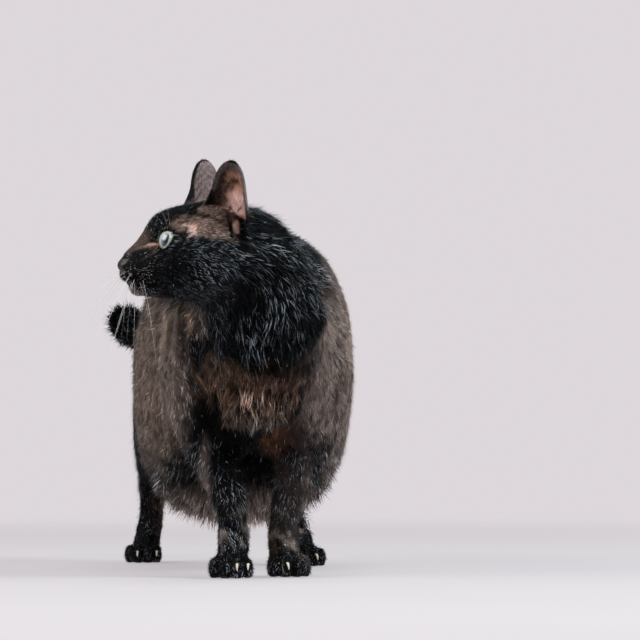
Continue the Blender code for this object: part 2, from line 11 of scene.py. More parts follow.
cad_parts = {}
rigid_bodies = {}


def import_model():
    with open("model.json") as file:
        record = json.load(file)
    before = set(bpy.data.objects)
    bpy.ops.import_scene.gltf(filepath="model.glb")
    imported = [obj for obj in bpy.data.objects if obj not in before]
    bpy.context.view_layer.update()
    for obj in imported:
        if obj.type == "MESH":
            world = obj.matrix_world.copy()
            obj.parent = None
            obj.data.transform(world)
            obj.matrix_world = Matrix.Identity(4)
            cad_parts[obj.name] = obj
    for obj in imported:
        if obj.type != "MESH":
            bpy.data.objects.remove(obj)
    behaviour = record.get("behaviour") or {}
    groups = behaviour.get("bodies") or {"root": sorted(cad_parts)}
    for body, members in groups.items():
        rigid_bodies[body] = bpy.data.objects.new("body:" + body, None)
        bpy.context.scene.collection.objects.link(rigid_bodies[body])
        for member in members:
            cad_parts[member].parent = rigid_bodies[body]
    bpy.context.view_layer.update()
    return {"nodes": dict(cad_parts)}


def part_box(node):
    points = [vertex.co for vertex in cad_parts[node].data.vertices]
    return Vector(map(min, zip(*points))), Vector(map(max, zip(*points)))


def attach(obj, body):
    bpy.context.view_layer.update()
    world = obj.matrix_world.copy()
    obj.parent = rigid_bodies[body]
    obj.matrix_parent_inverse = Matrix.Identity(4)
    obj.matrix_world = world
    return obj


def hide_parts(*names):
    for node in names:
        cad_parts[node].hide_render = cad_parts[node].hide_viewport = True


# A stout black short-haired cat, standing, its head turned to its right.
# Metres, +Z up. The breast faces -Y and the cat's left side is +X.
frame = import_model()
nodes = frame["nodes"]


def deselectAll():
    for piece in list(bpy.context.selected_objects):
        piece.select_set(False)


def makeActive(piece):
    deselectAll()
    piece.select_set(True)
    bpy.context.view_layer.objects.active = piece


def applyModifiers(piece):
    makeActive(piece)
    for modifier in list(piece.modifiers):
        bpy.ops.object.modifier_apply(modifier=modifier.name)


def joinAll(pieces):
    makeActive(pieces[0])
    for piece in pieces:
        piece.select_set(True)
    bpy.ops.object.join()
    return pieces[0]


def settle(piece):
    # the piece's place goes into its mesh
    makeActive(piece)
    bpy.ops.object.transform_apply(location=True, rotation=True, scale=True)


def ramp(value, low, high):
    share = np.clip((np.asarray(value, float) - low) / (high - low), 0.0, 1.0)
    return share * share * (3 - 2 * share)


def unit(vectors):
    return vectors / np.maximum(np.linalg.norm(vectors, axis=-1, keepdims=True), 1e-12)


def patchShare(points, middle, radii, wobble):
    level = np.linalg.norm((points - np.array(middle)) / np.array(radii), axis=1)
    return 1 - ramp(level + wobble, 0.65, 1.25)


def valuesOf(items, what, width, kind=np.float32):
    # one row of values for each point, face or corner
    flat = np.empty(len(items) * width, kind)
    items.foreach_get(what, flat)
    return flat.reshape(-1, width)


def pointsOf(mesh):
    return valuesOf(mesh.vertices, "co", 3).astype(float)


def normalsOf(mesh):
    return valuesOf(mesh.vertex_normals, "vector", 3).astype(float)


def setPoints(mesh, points):
    mesh.vertices.foreach_set("co", points.astype(np.float32).ravel())
    mesh.update()


def giveValues(mesh, name, values):
    # a value or a colour for every point, as an attribute that the materials read
    colour = values.ndim == 2
    if colour:
        values = np.hstack((values, np.ones((len(values), 1))))
    attribute = mesh.attributes.new(name, "FLOAT_COLOR" if colour else "FLOAT", "POINT")
    attribute.data.foreach_set("color" if colour else "value", values.astype(np.float32).ravel())


def newPiece(name, data):
    piece = bpy.data.objects.new(name, data)
    bpy.context.scene.collection.objects.link(piece)
    return piece


def normalsOutward(piece):
    makeActive(piece)
    bpy.ops.object.mode_set(mode="EDIT")
    bpy.ops.mesh.select_all(action="SELECT")
    bpy.ops.mesh.normals_make_consistent(inside=False)
    bpy.ops.object.mode_set(mode="OBJECT")


def roundBar(name, places, radii, sides, closed):
    # a thin bar through the places, as a mesh
    curve = bpy.data.curves.new(name, "CURVE")
    curve.dimensions = "3D"
    curve.bevel_depth = 1.0
    curve.bevel_resolution = sides
    curve.use_fill_caps = not closed
    spline = curve.splines.new("POLY")
    spline.points.add(len(places) - 1)
    spline.use_cyclic_u = closed
    for point, place, radius in zip(spline.points, places, radii):
        point.co = (*place, 1.0)
        point.radius = radius
    makeActive(newPiece(name, curve))
    bpy.ops.object.convert(target="MESH")
    return bpy.context.object


def middleOf(name):
    low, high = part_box(name)
    return (low + high) / 2


# Places on the body are given from a point on the floor that keeps its distance from the trunk's middle.
bodyPlan = {"trunkMiddle": (0.01262, -0.03634)}
trunkAt = middleOf("trunk")
bodyPlace = np.array([trunkAt.x - bodyPlan["trunkMiddle"][0], trunkAt.y - bodyPlan["trunkMiddle"][1], 0.0])


def toBody(points):
    return points - bodyPlace


# The head has its own frame: x to the cat's left, y to the back of the head, z up.
headPlan = {"eyesAhead": 0.0235, "eyesUp": 0.0062}


def findHeadFrame():
    left, right = middleOf("eye_left"), middleOf("eye_right")
    across = (left - right).normalized()
    back = Vector((0, 0, 1)).cross(across).normalized()
    up = across.cross(back)
    turned = Matrix((across, back, up)).transposed().to_4x4()
    middle = (left + right) / 2 + back * headPlan["eyesAhead"] - up * headPlan["eyesUp"]
    return Matrix.Translation(middle) @ turned


headFrame = findHeadFrame()
headTurn = np.array(headFrame.to_3x3())
headPlace = np.array(headFrame.to_translation())


def toHead(points):
    return (points - headPlace) @ headTurn


def fromHead(points):
    return points @ headTurn.T + headPlace


def onLeft(local):
    # places in the head's frame, with those on its right side mirrored to the left
    folded = local.copy()
    folded[:, 0] = np.abs(folded[:, 0])
    return folded


cameraPlan = {
    "azimuth": -8.0,       # degrees round the cat from straight ahead
    "distance": 2.2,       # to the forepaws
    "aside": 0.046,        # how far it stands to the right of them
    "height": 0.099,
    "horizon": 128,        # how far the horizon lies below the middle of a frame of 640
    "focal": 2860,         # in the same measure
    "frame": 640,
    "pawsToOrigin": (0.001, 0.004, 0.0),
    "sensor": 36.0,
    "clip": (0.05, 30.0),
}


def buildCamera():
    paws = (middleOf("forepaw_left") + middleOf("forepaw_right")) / 2
    foot = Vector((paws.x, paws.y, 0)) + Vector(cameraPlan["pawsToOrigin"])
    angle = math.radians(cameraPlan["azimuth"])
    back = Vector((math.sin(angle), -math.cos(angle), 0))
    right = Vector((math.cos(angle), math.sin(angle), 0))
    bpy.ops.object.camera_add()
    camera = bpy.context.object
    camera.name = "frontCamera"
    camera.location = foot + back * cameraPlan["distance"] + right * cameraPlan["aside"]
    camera.location.z = cameraPlan["height"]
    rise = cameraPlan["horizon"] / cameraPlan["focal"]
    camera.rotation_mode = "QUATERNION"
    camera.rotation_quaternion = (-back + Vector((0, 0, rise))).to_track_quat("-Z", "Y")
    camera.data.sensor_width = cameraPlan["sensor"]
    camera.data.lens = cameraPlan["sensor"] * cameraPlan["focal"] / cameraPlan["frame"]
    camera.data.clip_start, camera.data.clip_end = cameraPlan["clip"]
    bpy.context.scene.camera = camera
    return camera


buildCamera()
print("camera stands")


# Ears, in the head's frame and as a left ear: middle of the base, tip, and how far the opening turns aside.
earPlan = {
    "ear_left": {"base": (0.0245, 0.0175, 0.024), "tip": (0.0375, 0.0170, 0.067), "opening": 42, "side": 1},
    "ear_right": {"base": (0.0245, 0.0125, 0.024), "tip": (0.0375, 0.0130, 0.067), "opening": 58, "side": -1},
    "halfWidth": 0.0170,
    "depth": 0.0105,
    "wrap": 82.0,            # degrees that the cup turns to either side
    "root": 0.28,            # share of its height that it goes on into the head
    "outline": (3.0, 0.52),
    "reach": (0.022, -0.018, 0.010),     # aside, behind and before the middle of the cup
    "flare": 0.0085,         # how far the front edge runs forward at its foot
    "narrower": 0.20,        # towards the tip, on the back edge
    "thickness": 0.0014,
    "rows": 44,
    "columns": 40,
}


def earAxes(name):
    # the foot of the ear, its height and its three directions, laid out as a left ear in the head's frame
    plan = earPlan[name]
    base, tip = np.array(plan["base"]), np.array(plan["tip"])
    height = np.linalg.norm(tip - base)
    up = (tip - base) / height
    turn = math.radians(plan["opening"])
    opening = np.array([math.sin(turn), -math.cos(turn), 0.0])
    opening = unit(opening - up * (opening @ up))
    return base, height, up, opening, np.cross(up, opening), np.array([plan["side"], 1, 1])


def earWidth(level):
    shape, roundness = earPlan["outline"]
    return (1 - np.clip(level, 0, 0.992) ** shape) ** roundness


def shareAcross(level, across):
    # -1 at the front edge of an ear and 1 at its back edge
    return across / (earPlan["halfWidth"] * np.maximum(earWidth(level), 0.2))


def nearEar(across, before):
    aside, behind, ahead = earPlan["reach"]
    return (np.abs(across) < aside) * (before < ahead) * (before > behind)


def earPlaces(name, points):
    # height along the ear, place across it and place before it
    base, height, up, opening, across, mirror = earAxes(name)
    offset = toHead(points) * mirror - base
    return offset @ up / height, offset @ across, offset @ opening


def earShare(points):
    # where the ears are
    total = np.zeros(len(points))
    for name in earNames:
        level, across, before = earPlaces(name, points)
        total = np.maximum(total, ramp(level, 0.03, 0.20) * nearEar(across, before))
    return total


def earInside(points, normals):
    # the inner face of the cups, and how near to the rim a place is
    inside, rim = np.zeros(len(points)), np.zeros(len(points))
    for name in earNames:
        _, _, _, opening, side, mirror = earAxes(name)
        level, across, before = earPlaces(name, points)
        t = np.clip(shareAcross(level, across), -1, 1)
        facing = (normals @ headTurn) * mirror
        inward = opening * np.sqrt(1 - 0.9 * t ** 2)[:, None] - side * (0.95 * t)[:, None]
        flare = earPlan["flare"] * 1.05 * (1 - ramp(level, -0.10, 0.50)) * ramp(-t, 0.1, 1.0)
        aside, behind, _ = earPlan["reach"]
        near = ramp(level, 0.0, 0.05) * (np.abs(across) < aside) * (before > behind)
        near = near * ramp(flare - 0.0015 - 0.0050 * (1 - t ** 2) - before, -0.0012, 0.0008)
        share = near * ramp(np.sum(facing * inward, axis=1), -0.10, 0.30)
        rim = np.where(share > inside, np.maximum(ramp(np.abs(t), 0.88, 0.98), ramp(level, 0.93, 0.98)), rim)
        inside = np.maximum(inside, share)
    return inside, rim


# The skin: the solids of flesh as one closed mesh, softened, sculpted at the head and drawn in by the coat's
# depth.
skinPlan = {
    "grid": 0.00125,            # of the mesh on which the solids are joined
    "overlap": 0.0006,          # by which the solids swell, to close the cuts between them
    "bodySoftening": 240,       # rounds of smoothing over the trunk
    "legSoftening": 0.09,       # share of them on legs and tail
    "headSoftening": 0.035,     # share of them on the head and the paws
    "keptFaces": 0.235,         # share of the faces that the body keeps
    "toeRadii": (0.0054, 0.0098, 0.0098),
    "toeBehindClaw": 0.0098,
    "toeInward": 0.0009,
    "toeHeight": 0.0075,
    "lowest": 0.0006,           # the skin's soles, over the floor
    "unwrapFaces": 9000,
    "rootSeed": 3,
    "tuftSeed": 4,
    # where softening and thinning set in: distance from the head, height of the legs, place of the tail
    "softHead": (0.050, 0.085),
    "softLegs": (0.030, 0.120),
    "softPaws": (0.028, 0.040),
    "softTail": (0.140, 0.175),
    "thinHead": (0.060, 0.085),
    "thinPaws": (0.030, 0.045),
}
fleshNames = ["head", "neck", "trunk", "tail_base", "tail_tip"]
for part in ("foreleg", "forepaw", "hindleg", "hindpaw"):
    fleshNames += [part + "_left", part + "_right"]
pawNames = [name for name in fleshNames if "paw" in name]
earNames = ["ear_left", "ear_right"]

# Coat on each region: length of the tufts, depth of the skin under their tips, width of a tuft, how many grow on
# a square centimetre, lift in degrees, how far they gather into locks, and the share of white ones.
coatColumns = ("length", "depth", "width", "perCm", "lift", "lock", "white")
coatPlan = {
    "muzzle": (0.0019, 0.0008, 0.00036, 210, 14, 0.10, 0.190),
    "face": (0.0048, 0.0014, 0.00052, 230, 11, 0.35, 0.012),
    "neck": (0.0125, 0.0040, 0.00064, 78, 13, 0.50, 0.006),
    "breast": (0.0160, 0.0040, 0.00080, 60, 20, 0.90, 0.008),
    "body": (0.0075, 0.0030, 0.00062, 76, 10, 0.30, 0.012),
    "belly": (0.0185, 0.0062, 0.00092, 44, 34, 0.90, 0.004),
    "tail": (0.0125, 0.0045, 0.00082, 56, 38, 0.45, 0.003),
    "leg": (0.0066, 0.0020, 0.00054, 108, 20, 0.40, 0.034),
    "paw": (0.0038, 0.0011, 0.00048, 125, 18, 0.30, 0.045),
    "ear": (0.0024, 0.0, 0.00032, 110, 9, 0.10, 0.002),
}
# Where long locks hang: along the lower edge of the ruff and over the hollow between the forelegs.
longLocks = (
    ((0.006, -0.232, 0.170), (0.026, 0.020, 0.012)),
    ((-0.004, -0.212, 0.133), (0.042, 0.026, 0.014)),
)


# The ruff's lower edge: an arc across the chest.
ruffPlan = {"aside": 0.004, "lowest": 0.160, "rise": 17.0}
# Where one region of the coat gives way to the next, from and to, in metres.
regionPlan = {
    "headMiddle": (0, -0.008, 0),
    "headEdge": (0.044, 0.070),
    "headBack": (0.020, 0.048),
    "muzzleBack": (-0.046, -0.030),
    "legTop": (0.085, 0.120),
    "pawTop": (0.028, 0.044),
    "tailRoot": (0.150, 0.172),
    "ruffEdge": (-0.007, 0.005),
    "ruffBack": (-0.165, -0.110),
    "bellyFront": (-0.160, -0.120),
    "bellyBack": (0.080, 0.125),
    "bellySide": (0.050, 0.080),
    "bellyTop": (0.075, 0.125),
    "bellyFoot": (0.026, 0.034),
}


def regionShares(points):
    # how much of each region of the coat a place on the skin has
    local = toHead(points)
    fromMiddle = np.linalg.norm(local - np.array(regionPlan["headMiddle"]), axis=1)
    headShare = 1 - ramp(fromMiddle, *regionPlan["headEdge"])
    headShare *= 1 - ramp(local[:, 1], *regionPlan["headBack"])
    muzzle = headShare * (1 - ramp(local[:, 1], *regionPlan["muzzleBack"]))
    placed = toBody(points)
    height = placed[:, 2]
    legZone = (1 - ramp(height, *regionPlan["legTop"])) * (1 - bellyShare(points))
    pawShare = 1 - ramp(height, *regionPlan["pawTop"])
    tailShare = ramp(placed[:, 1], *regionPlan["tailRoot"])
    legShare = legZone * (1 - pawShare) * (1 - tailShare)
    pawShare = pawShare * (1 - bellyShare(points))
    belly = bellyShare(points) * (1 - tailShare)
    rest = np.clip(1 - headShare - legShare - pawShare - tailShare - belly, 0, 1)
    ruffEdge = ruffPlan["lowest"] + ruffPlan["rise"] * (placed[:, 0] - ruffPlan["aside"]) ** 2
    ruff = ramp(height - ruffEdge, *regionPlan["ruffEdge"])
    neckShare = rest * ruff * (1 - ramp(placed[:, 1], *regionPlan["ruffBack"]))
    ears = earShare(points)
    headShare, muzzle = headShare * (1 - ears), muzzle * (1 - ears)
    neckShare, rest = neckShare * (1 - ears), rest * (1 - ears)
    long = np.max([patchShare(placed, *lock, 0) for lock in longLocks], axis=0)
    return {
        "ear": ears,
        "muzzle": muzzle,
        "face": headShare - muzzle,
        "neck": neckShare * (1 - long),
        "breast": rest * long,
        "body": (rest - neckShare) * (1 - long),
        "belly": belly,
        "tail": tailShare,
        "leg": legShare,
        "paw": pawShare,
    }


def bellyShare(points):
    # the underside of the trunk, between the legs
    placed = toBody(points)
    along = ramp(placed[:, 1], *regionPlan["bellyFront"]) * (1 - ramp(placed[:, 1], *regionPlan["bellyBack"]))
    inward = 1 - ramp(np.abs(placed[:, 0] - bodyPlan["trunkMiddle"][0]), *regionPlan["bellySide"])
    below = 1 - ramp(points[:, 2], *regionPlan["bellyTop"])
    return along * inward * below * ramp(points[:, 2], *regionPlan["bellyFoot"])


def coatValue(shares, what):
    column = coatColumns.index(what)
    value = sum(shares[name] * coatPlan[name][column] for name in shares)
    return value / np.maximum(sum(shares.values()), 1e-6)


def copyOfSolid(name):
    piece = newPiece("copy_" + name, nodes[name].data.copy())
    piece.data.materials.clear()
    makeActive(piece)
    bpy.ops.object.mode_set(mode="EDIT")
    bpy.ops.mesh.select_all(action="SELECT")
    bpy.ops.mesh.remove_doubles(threshold=0.00001)
    bpy.ops.object.mode_set(mode="OBJECT")
    return piece


def swell(piece, amount):
    displace = piece.modifiers.new("swell", "DISPLACE")
    displace.strength = amount
    displace.mid_level = 0.0
    applyModifiers(piece)


def toeBalls():
    # a ball for every toe, just behind its claw
    balls = []
    for name in nodes:
        if not name.startswith("claw_"):
            continue
        middle = middleOf(name)
        side = -1 if "right" in name else 1
        bpy.ops.mesh.primitive_uv_sphere_add(segments=24, ring_count=14, radius=1.0)
        ball = bpy.context.object
        ball.scale = skinPlan["toeRadii"]
        lift = skinPlan["toeHeight"] - middle.z
        ball.location = middle + Vector((-skinPlan["toeInward"] * side, skinPlan["toeBehindClaw"], lift))
        settle(ball)
        balls.append(ball)
    return balls


def joinedFlesh():
    pieces = []
    for name in fleshNames + ["eye_left", "eye_right"]:
        piece = copyOfSolid(name)
        swell(piece, skinPlan["overlap"])
        pieces.append(piece)
    skin = joinAll(pieces + toeBalls())
    skin.name = skin.data.name = "skin"
    remesh = skin.modifiers.new("join", "REMESH")
    remesh.mode = "VOXEL"
    remesh.voxel_size = skinPlan["grid"]
    applyModifiers(skin)
    dropLoosePieces(skin)
    return skin


def dropLoosePieces(piece):
    # keeps the part that holds the highest point
    makeActive(piece)
    bpy.ops.object.mode_set(mode="EDIT")
    bpy.ops.mesh.select_all(action="DESELECT")
    editMesh = bmesh.from_edit_mesh(piece.data)
    top = max(editMesh.verts, key=lambda v: v.co.z)
    top.select = True
    editMesh.select_flush(True)
    bmesh.update_edit_mesh(piece.data)
    bpy.ops.mesh.select_linked()
    bpy.ops.mesh.select_all(action="INVERT")
    bpy.ops.mesh.delete(type="VERT")
    bpy.ops.object.mode_set(mode="OBJECT")


def softnessAt(points):
    # share of the smoothing that each place gets
    away = ramp(np.linalg.norm(toHead(points), axis=1), *skinPlan["softHead"])
    legs = ramp(points[:, 2], *skinPlan["softLegs"])
    tail = ramp(toBody(points)[:, 1], *skinPlan["softTail"])
    body = np.maximum(legs, bellyShare(points)) * (1 - tail)
    head, leg = skinPlan["headSoftening"], skinPlan["legSoftening"]
    small = head + (leg - head) * ramp(points[:, 2], *skinPlan["softPaws"])
    return head + (small + (1 - small) * body - head) * away


def giveGroup(piece, name, weights):
    group = piece.vertex_groups.new(name=name)
    for index, weight in enumerate(weights):
        group.add([index], float(weight), "REPLACE")


def smoothed(skin, weights, rounds):
    giveGroup(skin, "soft", weights)
    smooth = skin.modifiers.new("soften", "SMOOTH")
    smooth.factor = 0.5
    smooth.iterations = rounds
    smooth.vertex_group = "soft"
    applyModifiers(skin)
    skin.vertex_groups.clear()


def softened(skin):
    smoothed(skin, softnessAt(pointsOf(skin.data)), skinPlan["bodySoftening"])


def drawnIn(skin):
    # leaves room for the coat
    points = pointsOf(skin.data)
    depth = coatValue(regionShares(points), "depth") + skinPlan["overlap"]
    points -= normalsOf(skin.data) * depth[:, None]
    points[:, 2] = np.maximum(points[:, 2], skinPlan["lowest"])
    setPoints(skin.data, points)


# Folds of the loose skin: points along each, half width, and how deep (or high, below 0).
bodyFolds = {
    "underRuff": (
        ((-0.035, -0.197, 0.186), (-0.012, -0.226, 0.166), (0.012, -0.233, 0.161), (0.034, -0.226, 0.166),
         (0.052, -0.210, 0.181)), 0.0075, 0.0038),
    "rightArmpit": (
        ((-0.039, -0.182, 0.146), (-0.034, -0.184, 0.130), (-0.0275, -0.182, 0.114), (-0.018, -0.176, 0.098)),
        0.0105, 0.0075),
    "leftArmpit": (
        ((0.040, -0.196, 0.134), (0.033, -0.190, 0.120), (0.0270, -0.177, 0.103)), 0.0080, 0.0040),
    "betweenLegs": (
        ((-0.004, -0.180, 0.112), (0.006, -0.172, 0.100), (0.008, -0.150, 0.090)), 0.0140, 0.0070),
    "flankRidgeA": (
        ((-0.0610, -0.158, 0.212), (-0.0620, -0.161, 0.194), (-0.0630, -0.165, 0.174),
         (-0.0633, -0.166, 0.151), (-0.0595, -0.143, 0.132), (-0.0550, -0.127, 0.111),
         (-0.0495, -0.109, 0.093)), 0.0032, -0.0030),
    "flankRidgeB": (
        ((-0.0520, -0.165, 0.212), (-0.0525, -0.168, 0.201), (-0.0547, -0.176, 0.182),
         (-0.0560, -0.181, 0.163), (-0.0550, -0.178, 0.140)), 0.0020, -0.0026),
    "flankRidgeC": (
        ((-0.0445, -0.178, 0.213), (-0.0445, -0.181, 0.203), (-0.0448, -0.184, 0.185),
         (-0.0443, -0.187, 0.170), (-0.0422, -0.190, 0.157), (-0.0343, -0.195, 0.146)), 0.0019, -0.0026),
    "flankGrooveB": (
        ((-0.0570, -0.160, 0.210), (-0.0586, -0.167, 0.182), (-0.0594, -0.175, 0.160),
         (-0.0585, -0.165, 0.140)), 0.0030, 0.0036),
    "flankGrooveC": (
        ((-0.0488, -0.171, 0.210), (-0.0493, -0.175, 0.186), (-0.0501, -0.184, 0.162)), 0.0030, 0.0036),
    "neckGroove": (
        ((-0.0370, -0.184, 0.205), (-0.0385, -0.190, 0.185), (-0.0370, -0.195, 0.163)), 0.0050, 0.0030),
    "leftFlankGroove": (
        ((0.0720, -0.160, 0.215), (0.0732, -0.166, 0.179), (0.0704, -0.175, 0.148), (0.0640, -0.160, 0.112)),
        0.0046, 0.0028),
    "leftFlankRidge": (
        ((0.0800, -0.158, 0.215), (0.0800, -0.164, 0.179), (0.0790, -0.167, 0.152), (0.0830, -0.120, 0.123)),
        0.0026, -0.0020),
}

toeGroovePlan = {"width": 0.0019, "depth": 0.0020, "below": 0.030}


def toeGrooves():
    # the grooves between the toes, over the front of each paw
    paths = []
    for part in pawNames:
        toes = [middleOf(name) for name in nodes if name.startswith("claw_" + part)]
        toes.sort(key=lambda toe: toe.x)
        for first, second in zip(toes, toes[1:]):
            x, y = (first.x + second.x) / 2, (first.y + second.y) / 2
            paths.append(((x, y - 0.001, 0.002), (x, y + 0.004, 0.012), (x, y + 0.017, 0.020)))
    return paths


def nearPath(points, path, width):
    # 1 on a path, fading to nothing over a few widths
    return np.exp(-(distanceToPath(points, path) / width) ** 2)


def toeGrooveShare(points):
    near = np.zeros(len(points))
    low = points[:, 2] < toeGroovePlan["below"]
    for path in toeGrooves():
        near[low] = np.maximum(near[low], nearPath(points[low], path, toeGroovePlan["width"]))
    return near


def ridgeShare(points):
    # how near a place is to a ridge of loose skin
    near = np.zeros(len(points))
    for path, width, depth in bodyFolds.values():
        if depth < 0:
            near = np.maximum(near, nearPath(toBody(points), path, 1.3 * width))
    return near


def foldedBody(skin):
    points, normals = pointsOf(skin.data), normalsOf(skin.data)
    moved = points - normals * (toeGroovePlan["depth"] * toeGrooveShare(points))[:, None]
    for path, width, depth in bodyFolds.values():
        moved -= normals * (depth * nearPath(toBody(points), path, width))[:, None]
    setPoints(skin.data, moved)


def thinned(skin):
    # the body, which the coat hides, gets by with far fewer faces than the head and paws
    points = pointsOf(skin.data)
    away = ramp(np.linalg.norm(toHead(points), axis=1), *skinPlan["thinHead"])
    giveGroup(skin, "plain", 0.04 + 0.96 * away * ramp(points[:, 2], *skinPlan["thinPaws"]))
    thin = skin.modifiers.new("thin", "DECIMATE")
    thin.ratio = skinPlan["keptFaces"]
    thin.vertex_group = "plain"
    applyModifiers(skin)
    skin.vertex_groups.clear()


# Eyes: middle, radius and gaze in the head's frame, and the almond between the lids on the ball's surface.
eyePlan = {
    "middle": (0.0158, -0.0214, 0.0064),
    "radius": 0.0106,
    "lidsAside": 27.4,          # degrees from straight ahead to the middle of the lids
    "lidsUp": 5.0,
    "slant": 35.0,              # degrees by which the outer corner stands higher
    "halfWidth": 0.0094,
    "upper": 0.0064,
    "lower": 0.0040,
    "lid": 0.0011,              # thickness of the lids over the ball
    "blend": 0.0105,            # how far the lids run out into the face
    "rim": 0.00055,             # half the thickness of their edge
    "rimSteps": 72,
    "corner": 0.0007,           # rounding of the corners of the opening
    "cornea": 0.0011,           # how far the cornea bulges
    "iris": 0.0093,             # radius of the iris, over the ball
    "lean": 16.0,               # degrees by which the top of the pupil leans back
    "gaze": {"left": (43.0, 8.0), "right": (13.0, 4.0)},   # degrees aside and up
    "clear": 0.0002,            # between the ball and the lids
    "sunk": 0.0016,             # how far the skin lies inside the ball, in the opening
    "lidRise": 0.0022,          # over which a lid reaches its thickness
    "lidSoftening": 14,
}

# Pushes that shape the face: middle, reach and move, all in the head's frame, given for the left side.
facePushes = {
    "bridgeSide": ((0.0160, -0.0390, 0.0050), 0.0150, (-0.0055, 0.0010, -0.0006)),
    "cheekHollow": ((0.0260, -0.0330, -0.0030), 0.0110, (-0.0022, 0.0006, 0.0)),
    "whiskerPad": ((0.0105, -0.0525, -0.0195), 0.0095, (0.0012, -0.0015, -0.0006)),
    "padBack": ((0.0175, -0.0410, -0.0180), 0.0100, (0.0014, 0.0, 0.0)),
    "noseWing": ((0.0056, -0.0580, -0.0120), 0.0040, (0.0012, -0.0010, 0.0004)),
    "nostril": ((0.0036, -0.0605, -0.0145), 0.0026, (0.0, 0.0032, 0.0)),
    "nostrilSlit": ((0.0070, -0.0570, -0.0158), 0.0026, (-0.0018, 0.0018, 0.0002)),
    "noseTip": ((0.0, -0.0590, -0.0130), 0.0090, (0.0, -0.0034, 0.0)),
    "padFront": ((0.0, -0.0575, -0.0245), 0.0100, (0.0, 0.0024, 0.0)),
    "flapLobe": ((0.0292, 0.0236, 0.0215), 0.0050, (0.0016, -0.0004, 0.0)),
    "chinFront": ((0.0, -0.0480, -0.0330), 0.0090, (0.0, -0.0012, -0.0008)),
    "brow": ((0.0180, -0.0250, 0.0185), 0.0100, (0.0008, -0.0012, 0.0002)),
}
# Where the face has finer faces: round the eyes, from how far forward, and all that lies further forward.
finerPlan = {"roundEyes": 0.0190, "eyesFrom": -0.012, "noseFrom": -0.0340}
faceReach = {"middle": (0, -0.015, 0), "radius": 0.062}
# Grooves: points along them, width and depth.
faceGrooves = {
    "philtrum": (((0.0, -0.062, -0.0130), (0.0, -0.060, -0.0170), (0.0, -0.057, -0.0225)), 0.0009, 0.0013),
    "mouth": (
        ((0.0, -0.0565, -0.0232), (0.0050, -0.0550, -0.0250), (0.0100, -0.0510, -0.0266),
         (0.0150, -0.0440, -0.0270), (0.0185, -0.0370, -0.0262), (0.0205, -0.0315, -0.0245)),
        0.0011, 0.0019,
    ),
    "earGap": (
        ((0.0205, 0.0190, 0.0310), (0.0260, 0.0190, 0.0250), (0.0305, 0.0188, 0.0170)), 0.0016, 0.0022,
    ),
}


def finerFace(skin):
    # one more subdivision round the eyes, on the nose and along the mouth
    makeActive(skin)
    bpy.ops.object.mode_set(mode="EDIT")
    bpy.ops.mesh.select_all(action="DESELECT")
    bpy.ops.mesh.select_mode(type="FACE")
    editMesh = bmesh.from_edit_mesh(skin.data)
    editMesh.faces.ensure_lookup_table()
    middles = toHead(np.array([face.calc_center_median() for face in editMesh.faces]))
    near = np.linalg.norm(onLeft(middles) - np.array(eyePlan["middle"]), axis=1) < finerPlan["roundEyes"]
    chosen = (near & (middles[:, 1] < finerPlan["eyesFrom"])) | (middles[:, 1] < finerPlan["noseFrom"])
    for index in np.nonzero(chosen)[0]:
        editMesh.faces[index].select = True
    bmesh.update_edit_mesh(skin.data)
    bpy.ops.mesh.subdivide(number_cuts=1, smoothness=0.6)
    bpy.ops.object.mode_set(mode="OBJECT")


def pushed(local, middle, reach, move):
    distance = np.linalg.norm(local - np.array(middle), axis=1)
    share = np.clip(1 - (distance / reach) ** 2, 0, 1) ** 2
    return local + share[:, None] * np.array(move)


def distanceToPath(points, path):
    nearest = np.full(len(points), 1e9)
    for start, end in zip(path, path[1:]):
        start, end = np.array(start), np.array(end)
        along = np.clip((points - start) @ (end - start) / np.sum((end - start) ** 2), 0, 1)
        aside = points - start - along[:, None] * (end - start)
        nearest = np.minimum(nearest, np.linalg.norm(aside, axis=1))
    return nearest


def lidAxes():
    # the way the opening between the lids faces, and the directions along it and up it
    aside, up = math.radians(eyePlan["lidsAside"]), math.radians(eyePlan["lidsUp"])
    out = np.array([math.sin(aside) * math.cos(up), -math.cos(aside) * math.cos(up), math.sin(up)])
    along = np.array([math.cos(aside), math.sin(aside), 0.0])
    rise = np.cross(along, out)
    rise = rise if rise[2] > 0 else -rise
    slant = math.radians(eyePlan["slant"])
    slanted = along * math.cos(slant) + rise * math.sin(slant)
    return out, slanted, rise * math.cos(slant) - along * math.sin(slant)


def almond(along, up):
    # below 1 inside the opening, and how far outside its edge a place is
    half = eyePlan["halfWidth"]
    height = np.where(up > 0, eyePlan["upper"], eyePlan["lower"])
    rounded = np.sqrt(up ** 2 + eyePlan["corner"] ** 2)
    level = (along / half) ** 2 + (rounded - eyePlan["corner"]) / height
    slope = np.hypot(2 * along / half ** 2, up / rounded / height)
    return level, (level - 1) / np.maximum(slope, 1.0)


def outsideLids(ray):
    # how far outside the edge of the opening a way out of the eye's middle passes, measured on the ball
    out, along, rise = lidAxes()
    facing = ray @ out
    angle = np.arccos(np.clip(facing, -1, 1))
    aside = unit(ray - facing[:, None] * out)
    reach = eyePlan["radius"] * angle
    return almond(reach * (aside @ along), reach * (aside @ rise))[1], facing


